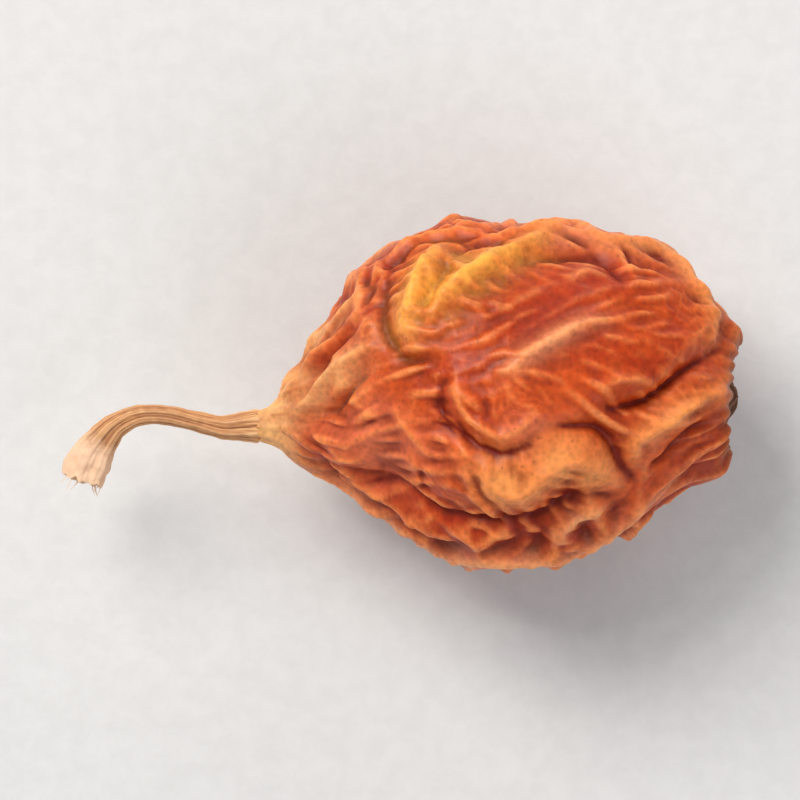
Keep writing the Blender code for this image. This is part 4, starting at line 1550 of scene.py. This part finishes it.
@dataclass
class Fruit:
    """The wrinkled fruit, skin and flesh in one."""

    form: FruitForm
    relief: SkinRelief
    finish: SkinFinish
    around: int = 392
    along: int = 250
    row_crowd: float = 0.25
    upper_crowd: float = 0.22
    fine_rounds: int = 9
    broad_rounds: int = 90
    fine_scale: float = 0.018
    broad_scale: float = 0.085

    def grid(self) -> tuple[np.ndarray, np.ndarray, list[tuple[int, ...]]]:
        """Lays rings of points from the stalk to the calyx.

        Returns:
            Angle from the stalk and angle round the fruit of each point, and the faces between them.
        """
        steps = np.linspace(0.0, math.pi, self.along + 1)[1:-1]
        polar = np.repeat(steps, self.around)
        turn = np.tile(np.linspace(0.0, 2.0 * math.pi, self.around, endpoint=False), len(steps))
        polar = np.concatenate([polar, [0.0, math.pi]])
        turn = np.concatenate([turn, [0.0, 0.0]])
        polar = polar - 0.5 * self.row_crowd * np.sin(2.0 * polar)
        turn = turn + self.upper_crowd * np.cos(turn)
        first_pole = len(polar) - 2
        last_ring = (len(steps) - 1) * self.around
        faces: list[tuple[int, ...]] = []
        for step in range(self.around):
            after = (step + 1) % self.around
            faces.append((first_pole, after, step))
            faces.append((last_ring + step, last_ring + after, first_pole + 1))
            for low in range(0, last_ring, self.around):
                high = low + self.around
                faces.append((low + step, low + after, high + after, high + step))
        return polar, turn, faces

    def dress(self, mesh: bpy.types.Mesh, where: PointGrid, skin: np.ndarray) -> None:
        """Stores what the finish reads from the skin.

        Args:
            mesh: Mesh of the skin.
            where: Its points on the smooth form.
            skin: Its points on the real skin.
        """
        points = where.points
        raised = skin - points
        fine = relief_of(mesh, raised, self.fine_rounds) / self.fine_scale
        broad = relief_of(mesh, raised, self.broad_rounds) / self.broad_scale
        from_stalk = self.form.end_distance(points, End.STALK)
        from_calyx = self.form.end_distance(points, End.CALYX)
        # Crest and hollow masks from the relief: the finish paints shade into the hollows and lightens the
        # crests, partly as painted highlight.
        carry(mesh, Mark.CREST, 0.55 * np.clip(fine, 0.0, 1.0) + 0.65 * np.clip(broad - 0.05, 0.0, 1.0))
        carry(mesh, Mark.HOLLOW_SHADE, 0.50 * np.clip(-fine, 0.0, 1.0) + 0.90 * np.clip(-broad - 0.05, 0.0, 1.0))
        # The lower sides get painted shade, fading in from above the middle of the height and full a little
        # below it.
        height = points[:, 2] / self.form.half_height
        carry(mesh, Mark.FLANK_SHADE, smoothstep(0.55, -0.20, height))
        # Tint masks: the pale one lays painted highlight, the lit one painted light, the blush one partly
        # painted highlight, the deep one partly painted shade; gold and tan are the skin's own colours.
        for tint, spread in (
            (Tint.GOLD, 1.7), (Tint.TAN, 1.4), (Tint.PALE_HIGHLIGHT, 0.65), (Tint.LIT, 1.2), (Tint.BLUSH_AND_HIGHLIGHT, 1.0),
            (Tint.DEEP, 1.0),
        ):
            carry(mesh, Mark(tint.value), self.relief.tint_strength(where, tint, spread))
        carry(mesh, Mark.NECK, 1.0 - smoothstep(0.35, 0.95, from_stalk))
        carry(mesh, Mark.PIT, 1.0 - smoothstep(0.75, 1.15, from_calyx))

    def build(self) -> bpy.types.Object:
        """Builds the fruit in place of its solid.

        Returns:
            The fruit.
        """
        polar, turn, faces = self.grid()
        where = PointGrid(self.form.surface(polar, turn))
        height = self.relief.height(where)
        skin = where.points + self.form.outward(where.points) * height[:, None]
        skin = self.relief.gathered(where.points, skin) + np.array(self.form.centre)
        skin[:, 2] = np.maximum(skin[:, 2], 0.0)
        mesh = bpy.data.meshes.new("fruit")
        mesh.from_pydata(skin, [], faces)
        self.dress(mesh, where, skin)
        piece = place_piece("berry_skin", mesh, self.finish.build())
        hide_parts("berry")
        return piece


@dataclass
class Stalk:
    """The stub of the stalk: ribbed and fibrous, with a flattened, torn end."""

    centre: Place
    finish: StalkFinish
    route: tuple[tuple[Place, float], ...] = (
        ((-4.15, -0.50, -0.28), 0.225),
        ((-4.24, -0.50, -0.28), 0.238),
        ((-4.33, -0.50, -0.28), 0.268),
        ((-4.45, -0.505, -0.28), 0.262),
        ((-4.62, -0.51, -0.27), 0.235),
        ((-4.95, -0.53, -0.26), 0.190),
        ((-5.40, -0.44, -0.22), 0.165),
        ((-5.95, -0.32, -0.20), 0.160),
        ((-6.45, -0.32, -0.24), 0.170),
        ((-6.86, -0.50, -0.34), 0.210),
        ((-7.14, -0.80, -0.44), 0.290),
        ((-7.34, -1.12, -0.50), 0.370),
        ((-7.46, -1.42, -0.52), 0.350),
    )
    rings: int = 380
    around: int = 96
    ridges: int = 6
    ridge_height: float = 0.10
    fibres: int = 19
    fibre_height: float = 0.030
    end_flatten: float = 0.62
    torn_length: float = 0.10
    crater_depth: float = 0.14
    crater_rings: int = 14
    strands: int = 18
    strand_seed: int = 23
    relief_rounds: int = 12
    relief_scale: float = 0.010

    def line(self) -> tuple[np.ndarray, np.ndarray]:
        """Runs the stalk's line.

        Returns:
            Places along it and the radius at each.
        """
        places = smooth_route([place for place, _ in self.route], self.rings)
        radii = smooth_route([(radius, 0.0, 0.0) for _, radius in self.route], self.rings)[:, 0]
        return places, radii

    @staticmethod
    def frames(places: np.ndarray) -> tuple[np.ndarray, np.ndarray, np.ndarray]:
        """Sets up a steady cross-section frame along a line.

        Args:
            places: Places along the line.

        Returns:
            Direction of the line, and two directions across it, at each place.
        """
        ahead = np.gradient(places, axis=0)
        ahead /= np.linalg.norm(ahead, axis=1, keepdims=True)
        up = np.zeros_like(places)
        up[:, 2] = 1.0
        beside = np.cross(up, ahead)
        beside /= np.linalg.norm(beside, axis=1, keepdims=True)
        return ahead, beside, np.cross(ahead, beside)

    def rings_of_skin(self) -> tuple[np.ndarray, np.ndarray, np.ndarray]:
        """Shapes the stalk ring by ring, with the torn end and the crater in it.

        Returns:
            Rings of places, the share along the stalk of each ring, and how deep in the crater it is.
        """
        places, radii = self.line()
        ahead, beside, above = self.frames(places)
        angle = np.linspace(0.0, 2.0 * math.pi, self.around, endpoint=False)
        share = np.linspace(0.0, 1.0, self.rings + 1)
        rings = []
        wander = 0.5 * np.sin(7.0 * share) + 0.35 * np.sin(17.0 * share + 1.0)
        for index, (place, radius) in enumerate(zip(places, radii)):
            soft = float(smoothstep(0.10, 0.20, np.array(share[index])))
            rib = self.ridge_height * soft * np.cos(self.ridges * angle + 2.0 * share[index])
            fibre = self.fibre_height * soft * np.cos(self.fibres * angle + 3.0 * wander[index])
            fibre = fibre + 0.6 * self.fibre_height * soft * np.cos(31.0 * angle - 5.0 * wander[index])
            girth = radius * (1.0 + rib + fibre)
            offset = np.cos(angle)[:, None] * beside[index] + np.sin(angle)[:, None] * above[index]
            offset = offset * girth[:, None]
            flat = 1.0 - (1.0 - self.end_flatten) * float(smoothstep(0.70, 0.95, np.array(share[index])))
            offset[:, 2] *= flat
            rings.append(place + offset)
        rings = np.array(rings)
        bumps = noise_at(rings.reshape(-1, 3), 0.16, 9.0).reshape(rings.shape[:2])
        lumps = noise_at(rings.reshape(-1, 3), 0.45, 19.0).reshape(rings.shape[:2])
        rough = smoothstep(0.10, 0.22, share) * (0.014 + 0.030 * smoothstep(0.80, 0.97, share))
        away = rings - places[:, None, :]
        away /= np.linalg.norm(away, axis=2, keepdims=True)
        rings = rings + away * (rough[:, None] * (bumps + 0.8 * lumps))[:, :, None]
        torn = 0.5 + 0.9 * noise_at(rings[-1], 0.09, 3.0) + 0.5 * noise_at(rings[-1], 0.25, 31.0)
        reach = smoothstep(0.93, 1.0, share)[:, None] * np.clip(torn, 0.0, 1.3)[None, :] * self.torn_length
        rings = rings + reach[:, :, None] * ahead[:, None, :]
        depth = np.zeros(len(rings))
        inner, inner_depth = [], []
        rim, middle = rings[-1], rings[-1].mean(axis=0)
        for step in range(1, self.crater_rings + 1):
            inward = step / (self.crater_rings + 1)
            sink = self.crater_depth * float(smoothstep(0.0, 0.55, np.array(inward)))
            ring = rim + (middle - rim) * inward - ahead[-1] * sink
            ring = ring + ahead[-1] * (0.05 * noise_at(ring, 0.07, 13.0))[:, None]
            inner.append(ring)
            inner_depth.append(min(1.0, 0.35 + inward))
        rings = np.concatenate([rings, np.array(inner)])
        share = np.concatenate([share, np.ones(self.crater_rings)])
        return rings, share, np.concatenate([depth, np.array(inner_depth)])

    def mesh(self) -> bpy.types.Mesh:
        """Closes the rings to a solid and stores what the finish reads."""
        rings, share, depth = self.rings_of_skin()
        count, around = rings.shape[:2]
        corners = rings.reshape(-1, 3)
        first_middle, last_middle = rings[0].mean(axis=0), rings[-1].mean(axis=0)
        vertices = np.concatenate([corners, [first_middle, last_middle]])
        faces = ring_faces(count, around)
        tip = len(corners)
        faces += [(tip, (step + 1) % around, step) for step in range(around)]
        last = (count - 1) * around
        faces += [(tip + 1, last + step, last + (step + 1) % around) for step in range(around)]
        places = vertices + np.array(self.centre)
        mesh = solid_mesh("stalk", places, faces)
        carry_relief(mesh, relief_of(mesh, places, self.relief_rounds) / self.relief_scale)
        carry(mesh, Mark.ALONG, np.concatenate([np.repeat(share, around), [0.0, 1.0]]))
        carry(mesh, Mark.PIT, np.concatenate([np.repeat(depth, around), [0.0, 1.0]]))
        return mesh

    def strand_mesh(self) -> bpy.types.Mesh:
        """Makes the thin fibres that stand out of the torn end."""
        rings, _, _ = self.rings_of_skin()
        rim = rings[self.rings]
        middle = rim.mean(axis=0)
        places, _ = self.line()
        ahead = (places[-1] - places[-6]) / np.linalg.norm(places[-1] - places[-6])
        draw = random.Random(self.strand_seed)
        bm = bmesh.new()
        for _ in range(self.strands):
            start = rim[draw.randrange(len(rim))]
            start = middle + (start - middle) * draw.uniform(0.55, 0.97) - ahead * 0.10
            length = draw.uniform(0.12, 0.30)
            lean = Vector((draw.gauss(0.0, 0.35), draw.gauss(0.0, 0.35), draw.gauss(0.0, 0.25)))
            heading = (Vector(ahead) + lean).normalized()
            thick = draw.uniform(0.012, 0.024)
            bend = Vector((draw.gauss(0.0, 0.06), draw.gauss(0.0, 0.06), draw.gauss(0.0, 0.05)))
            self.add_strand(bm, Vector(start), heading, bend, length, thick)
        mesh = face_out(bm, bpy.data.meshes.new("strands"))
        mesh.transform(Matrix.Translation(self.centre))
        carry_even(mesh, {Mark.ALONG: 1.0, Mark.CREST: 0.4, Mark.HOLLOW_SHADE: 0.0, Mark.PIT: 0.0})
        return mesh

    @staticmethod
    def add_strand(bm: bmesh.types.BMesh, start: Vector, heading: Vector, bend: Vector, length: float,
                   thick: float) -> None:
        """Adds one tapered, bent fibre.

        Args:
            bm: Mesh to add it to.
            start: Place of its root.
            heading: Direction that it starts in.
            bend: How far its tip is pulled aside.
            length: Its length.
            thick: Radius at its root.
        """
        sides, steps = 7, 7
        across = heading.orthogonal().normalized()
        other = heading.cross(across)
        rows = []
        for step in range(steps + 1):
            share = step / steps
            middle = start + heading * (length * share) + bend * share * share
            radius = thick * (1.0 - 0.75 * share)
            rows.append([
                bm.verts.new(middle + radius * (math.cos(turn) * across + math.sin(turn) * other))
                for turn in (2.0 * math.pi * side / sides for side in range(sides))
            ])
        for low, high in zip(rows, rows[1:]):
            for side in range(sides):
                after = (side + 1) % sides
                bm.faces.new((low[side], low[after], high[after], high[side]))
        bm.faces.new(list(reversed(rows[0])))
        bm.faces.new(rows[-1])

    def build(self) -> list[bpy.types.Object]:
        """Builds the stalk in place of its solid.

        Returns:
            The stalk and its torn fibres.
        """
        material = self.finish.build()
        stalk = place_piece("stalk", self.mesh(), material)
        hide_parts("stem")
        fibres = place_piece("stalk_fibres", self.strand_mesh(), material)
        return [stalk, fibres]


@dataclass
class Calyx:
    """The dried calyx: a low cup, five sepals that lean in over it, and the stubs of the styles."""

    form: FruitForm
    finish: SepalFinish
    far_draw: float = 0.26
    pit_depth: float = 0.66
    cup_gap: float = 0.11
    cup_radius: float = 0.54
    cup_height: float = 0.16
    cup_foot: float = 0.04
    cup_around: int = 120
    cup_steps: int = 60
    cup_pleats: int = 20
    cup_pleat_height: float = 0.012
    sepals: int = 5
    sepal_length: float = 0.78
    sepal_width: float = 0.56
    sepal_thickness: float = 0.10
    sepal_foot: float = 0.46
    sepal_seed: int = 3
    sepal_dome: float = 1.40
    keel_height: float = 0.050
    tip_lift: float = 0.04
    across: int = 40
    along: int = 48
    styles: int = 4
    filaments: int = 16

    def seat(self) -> Matrix:
        """Finds the calyx's place: its own +Z turned to the fruit's +X, at the floor of the pit."""
        side, lift = self.form.middle_line(np.array([self.form.half_length]))
        floor = self.form.half_length + self.far_draw - self.pit_depth + self.cup_gap + self.cup_foot
        place = Vector((floor, float(side[0]), float(lift[0]))) + Vector(self.form.centre)
        return Matrix.Translation(place) @ Matrix.Rotation(math.pi / 2.0, 4, "Y")

    def sepal_sheets(self, lean: float, length: float, twist: float, offset: float) -> (
        tuple[np.ndarray, np.ndarray]
    ):
        """Shapes one sepal.

        Args:
            lean: How far it bends in over the cup.
            length: Its length.
            twist: How far its tip turns aside.
            offset: Number that picks the noise of this sepal.

        Returns:
            Its inner and outer face as grids of places.
        """
        across = np.linspace(-1.0, 1.0, self.across + 1)[None, :]
        share = np.linspace(0.0, 1.0, self.along + 1)[:, None]
        shoulder = 0.84 + 0.16 * smoothstep(0.0, 0.32, share)
        half = 0.5 * self.sepal_width * (1.0 - share) ** 0.88 * shoulder + 0.025 * (1.0 - 0.6 * share)
        ragged = 1.0 + 0.06 * np.sin(17.0 * share + 2.3 * offset) * np.abs(across) ** 3
        sideways = across * half * ragged
        angle = 0.15 + lean * share
        inward = length * (1.0 - np.cos(angle)) / lean
        rise = length * np.sin(angle) / lean
        lying = smoothstep(0.10, 0.55, share)
        bow = 0.35 * (1.0 - 1.4 * lying) * sideways * sideways / self.sepal_width
        dome = self.sepal_dome * lying * sideways * sideways / self.sepal_width
        tip = self.tip_lift * (0.6 + 0.5 * np.cos(3.0 * offset)) * smoothstep(0.62, 1.0, share) ** 2
        fade = np.sin(math.pi * np.clip(share * 0.9 + 0.06, 0.0, 1.0)) ** 0.6
        vein = self.keel_height * np.exp(-np.abs(across) / 0.16) * fade
        bent = across + 0.05 * np.sin(9.0 * share + offset)
        vein = vein + 0.015 * np.cos(13.0 * bent) * np.abs(across) ** 0.5 * fade
        x = self.sepal_foot - inward + bow
        y = sideways + twist * share * 0.2
        z = rise + tip - dome
        middle = np.stack([x, y, z], axis=-1) + np.zeros((self.along + 1, self.across + 1, 3))
        run_along = np.gradient(middle, axis=0)
        run_across = np.gradient(middle, axis=1)
        normal = np.cross(run_across, run_along)
        normal /= np.maximum(np.linalg.norm(normal, axis=2, keepdims=True), 1e-9)
        flat = middle.reshape(-1, 3) + np.array([0.0, 0.0, offset])
        bumps = noise_at(flat, 0.12, 4.0).reshape(self.along + 1, self.across + 1)
        thick = 0.5 * self.sepal_thickness * (1.0 - 0.55 * across**2) * (1.0 - 0.45 * share)
        inner = middle - normal * (thick - 0.010 * bumps)[:, :, None]
        outer = middle + normal * (thick + 0.010 * bumps + vein)[:, :, None]
        return inner, outer

    def sepal_mesh(self) -> bpy.types.Mesh:
        """Makes the five sepals as closed, thin bodies."""
        draw = random.Random(self.sepal_seed)
        vertices: list[np.ndarray] = []
        faces: list[tuple[int, ...]] = []
        for index in range(self.sepals):
            lean = draw.uniform(1.65, 2.05)
            length = self.sepal_length * draw.uniform(0.88, 1.08)
            twist = draw.uniform(-0.25, 0.25)
            inner, outer = self.sepal_sheets(lean, length, twist, 1.7 * index)
            turn = 2.0 * math.pi * index / self.sepals + draw.uniform(-0.08, 0.08)
            spin = np.array(Matrix.Rotation(turn, 3, "Z"))
            start = sum(len(block) for block in vertices)
            rows, columns = inner.shape[:2]
            vertices.append(inner.reshape(-1, 3) @ spin.T)
            vertices.append(outer.reshape(-1, 3) @ spin.T)
            faces += self.sheet_faces(start, rows, columns)
        return self.finished_mesh("sepals", np.concatenate(vertices), faces, 10, 0.012)

    @staticmethod
    def sheet_faces(start: int, rows: int, columns: int) -> list[tuple[int, ...]]:
        """Lists the faces of a thin body between two grids of points of the same size.

        Args:
            start: Index of the first point of the first grid; the second grid follows it.
            rows: Rows of each grid.
            columns: Columns of each grid.

        Returns:
            The faces of both sheets and of the border that closes them.
        """
        upper = start + np.arange(rows * columns).reshape(rows, columns)
        under = rows * columns
        faces: list[tuple[int, ...]] = []
        for row in range(rows - 1):
            for column in range(columns - 1):
                left, right = upper[row:row + 2, column], upper[row:row + 2, column + 1]
                square = tuple(int(corner) for corner in (left[0], right[0], right[1], left[1]))
                faces.append(square)
                faces.append(tuple(under + corner for corner in reversed(square)))
        border = [*upper[0, :-1], *upper[:-1, -1], *upper[-1, :0:-1], *upper[:0:-1, 0]]
        border = [int(corner) for corner in border]
        for here, there in zip(border, border[1:] + border[:1]):
            faces.append((there, here, under + here, under + there))
        return faces

    def cup_mesh(self) -> bpy.types.Mesh:
        """Makes the low cup that the sepals stand on, with its pleated floor."""
        foot, rim = -self.cup_foot, 0.5 * self.cup_height + 0.02
        # Shares of the cup's radius, and heights, up its outer face and down its inner one
        outline = (
            (0.05, foot), (0.51, foot), (0.80, -0.038), (0.95, 0.030), (1.0, rim), (0.97, 0.115),
            (0.85, 0.105), (0.68, 0.070), (0.41, 0.060), (0.20, 0.085), (0.05, 0.095),
        )
        route = [(self.cup_radius * share, height, 0.0) for share, height in outline]
        profile = smooth_route(route, self.cup_steps)
        around = self.cup_around
        turn = np.linspace(0.0, 2.0 * math.pi, around, endpoint=False)
        wave = self.cup_pleat_height * np.cos(self.cup_pleats * turn + 0.8 * np.sin(3.0 * turn))
        rings = []
        for index, (radius, height, _) in enumerate(profile):
            upper = index > self.cup_steps // 2
            pleat = wave * min(1.0, radius / 0.3)
            rings.append(np.stack(
                [radius * np.cos(turn), radius * np.sin(turn), height + pleat * (1.0 if upper else 0.2)],
                axis=-1,
            ))
        places = np.array(rings).reshape(-1, 3)
        faces = ring_faces(len(profile), around)
        faces.append(tuple(reversed(range(around))))
        faces.append(tuple((len(profile) - 1) * around + step for step in range(around)))
        return self.finished_mesh("cup", places, faces, 8, 0.010)

    def stub_mesh(self) -> bpy.types.Mesh:
        """Makes the stubs of the styles in the middle and of the filaments round them."""
        draw = random.Random(self.sepal_seed + 9)
        bm = bmesh.new()
        for index in range(self.styles + self.filaments):
            style = index < self.styles
            turn = draw.uniform(0.0, 2.0 * math.pi) if style else 2.0 * math.pi * index / self.filaments
            radius = draw.uniform(0.03, 0.09) if style else draw.uniform(0.33, 0.39)
            start = Vector((radius * math.cos(turn), radius * math.sin(turn), 0.05))
            heading = Vector((draw.gauss(0.0, 0.25), draw.gauss(0.0, 0.25), 1.0)).normalized()
            length = draw.uniform(0.16, 0.26) if style else draw.uniform(0.10, 0.20)
            thick = 0.034 if style else 0.014
            bend = Vector((-0.10 * math.cos(turn), -0.10 * math.sin(turn), 0.0))
            Stalk.add_strand(bm, start, heading, bend, length, thick)
        mesh = face_out(bm, bpy.data.meshes.new("stubs"))
        mesh.transform(self.seat())
        carry_even(mesh, {Mark.CREST: 0.5, Mark.HOLLOW_SHADE: 0.0})
        return mesh

    def finished_mesh(
        self, name: str, places: np.ndarray, faces: list[tuple[int, ...]], rounds: int, scale: float
    ) -> bpy.types.Mesh:
        """Closes a body of the calyx, seats it and stores its crests and hollows.

        Args:
            name: Name of the mesh.
            places: Its points, in the calyx's own frame.
            faces: Its faces.
            rounds: Rounds of averaging for its relief.
            scale: Height that counts as a full crest.

        Returns:
            The mesh in the part's frame.
        """
        mesh = solid_mesh(name, places, faces)
        carry_relief(mesh, relief_of(mesh, places, rounds) / scale)
        mesh.transform(self.seat())
        return mesh

    def build(self) -> list[bpy.types.Object]:
        """Builds the calyx in place of its solid.

        Returns:
            The sepals, the cup and the stubs.
        """
        material = self.finish.build()
        pieces = [
            place_piece("sepals", self.sepal_mesh(), material),
            place_piece("calyx_cup", self.cup_mesh(), material),
            place_piece("style_stubs", self.stub_mesh(), material),
        ]
        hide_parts("calyx")
        return pieces


@dataclass(frozen=True)
class SoftLight:
    """A square light that points at the berry."""

    name: str
    place: Place
    side: float
    power: float
    colour: tuple[float, float, float] = (1.0, 1.0, 1.0)

    def build(self, aim: Vector) -> None:
        """Hangs the light.

        Args:
            aim: Place that it points at, in metres.
        """
        data = bpy.data.lights.new(self.name, "AREA")
        data.energy = self.power
        data.size = self.side * MM
        data.color = self.colour
        lamp = bpy.data.objects.new(self.name, data)
        lamp.location = Vector(self.place) * MM
        lamp.rotation_euler = (aim - lamp.location).to_track_quat("-Z", "Y").to_euler()
        bpy.context.scene.collection.objects.link(lamp)


@dataclass
class Studio:
    """Pale floor, soft light and the camera, set for a close-up of one berry."""

    finish: PaperFinish
    floor_side: float = 900.0
    elevation: float = 86.0
    distance: float = 160.0
    frame_width: float = 14.2
    aim: Place = (0.0, -0.1, 2.6)
    sensor: float = 36.0
    lights: tuple[SoftLight, ...] = (
        SoftLight("key", (-70.0, 80.0, 125.0), 85.0, 0.20, (1.0, 0.97, 0.93)),
        SoftLight("fill", (80.0, -80.0, 95.0), 110.0, 0.055, (0.95, 0.97, 1.0)),
        SoftLight("edge", (40.0, 130.0, 45.0), 50.0, 0.03, (1.0, 1.0, 1.0)),
        SoftLight("glint", (-45.0, 35.0, 150.0), 12.0, 0.012, (1.0, 0.98, 0.96)),
    )
    sky: Colour = (0.90, 0.94, 1.0, 1.0)
    sky_strength: float = 0.36

    def lay_floor(self) -> bpy.types.Object:
        """Lays the floor."""
        bm = bmesh.new()
        bmesh.ops.create_grid(bm, x_segments=24, y_segments=24, size=0.5 * self.floor_side * MM)
        mesh = bpy.data.meshes.new("floor")
        bm.to_mesh(mesh)
        bm.free()
        mesh.materials.append(self.finish.build())
        floor = bpy.data.objects.new("floor", mesh)
        bpy.context.scene.collection.objects.link(floor)
        return floor

    def set_camera(self) -> bpy.types.Object:
        """Sets the camera above the berry, at the photograph's angle."""
        data = bpy.data.cameras.new("camera")
        data.sensor_width = self.sensor
        data.lens = self.sensor * self.distance / self.frame_width
        data.clip_start, data.clip_end = 0.01, 10.0
        camera = bpy.data.objects.new("camera", data)
        tilt = math.radians(self.elevation)
        aim = Vector(self.aim) * MM
        back = Vector((0.0, -math.cos(tilt), math.sin(tilt)))
        camera.location = aim + back * self.distance * MM
        camera.rotation_euler = (-back).to_track_quat("-Z", "Y").to_euler()
        bpy.context.scene.collection.objects.link(camera)
        bpy.context.scene.camera = camera
        return camera

    def build(self) -> None:
        """Sets up floor, lights, sky and camera."""
        self.lay_floor()
        for light in self.lights:
            light.build(Vector(self.aim) * MM)
        world = bpy.data.worlds.new("sky")
        world.use_nodes = True
        back = world.node_tree.nodes["Background"]
        back.inputs["Color"].default_value = self.sky
        back.inputs["Strength"].default_value = self.sky_strength
        bpy.context.scene.world = world
        bpy.context.scene.view_settings.view_transform = "Standard"
        self.set_camera()
        log.info("studio: floor, %d lights and camera", len(self.lights))


def main() -> None:
    """Builds the studio and the berry's pieces in order."""
    logging.basicConfig(level=logging.INFO, format="%(name)s: %(message)s")
    form = FruitForm()
    Studio(PaperFinish()).build()
    Fruit(form, SkinRelief(form), SkinFinish()).build()
    Stalk(form.centre, StalkFinish()).build()
    Calyx(form, SepalFinish()).build()


if __name__ == "__main__":
    main()
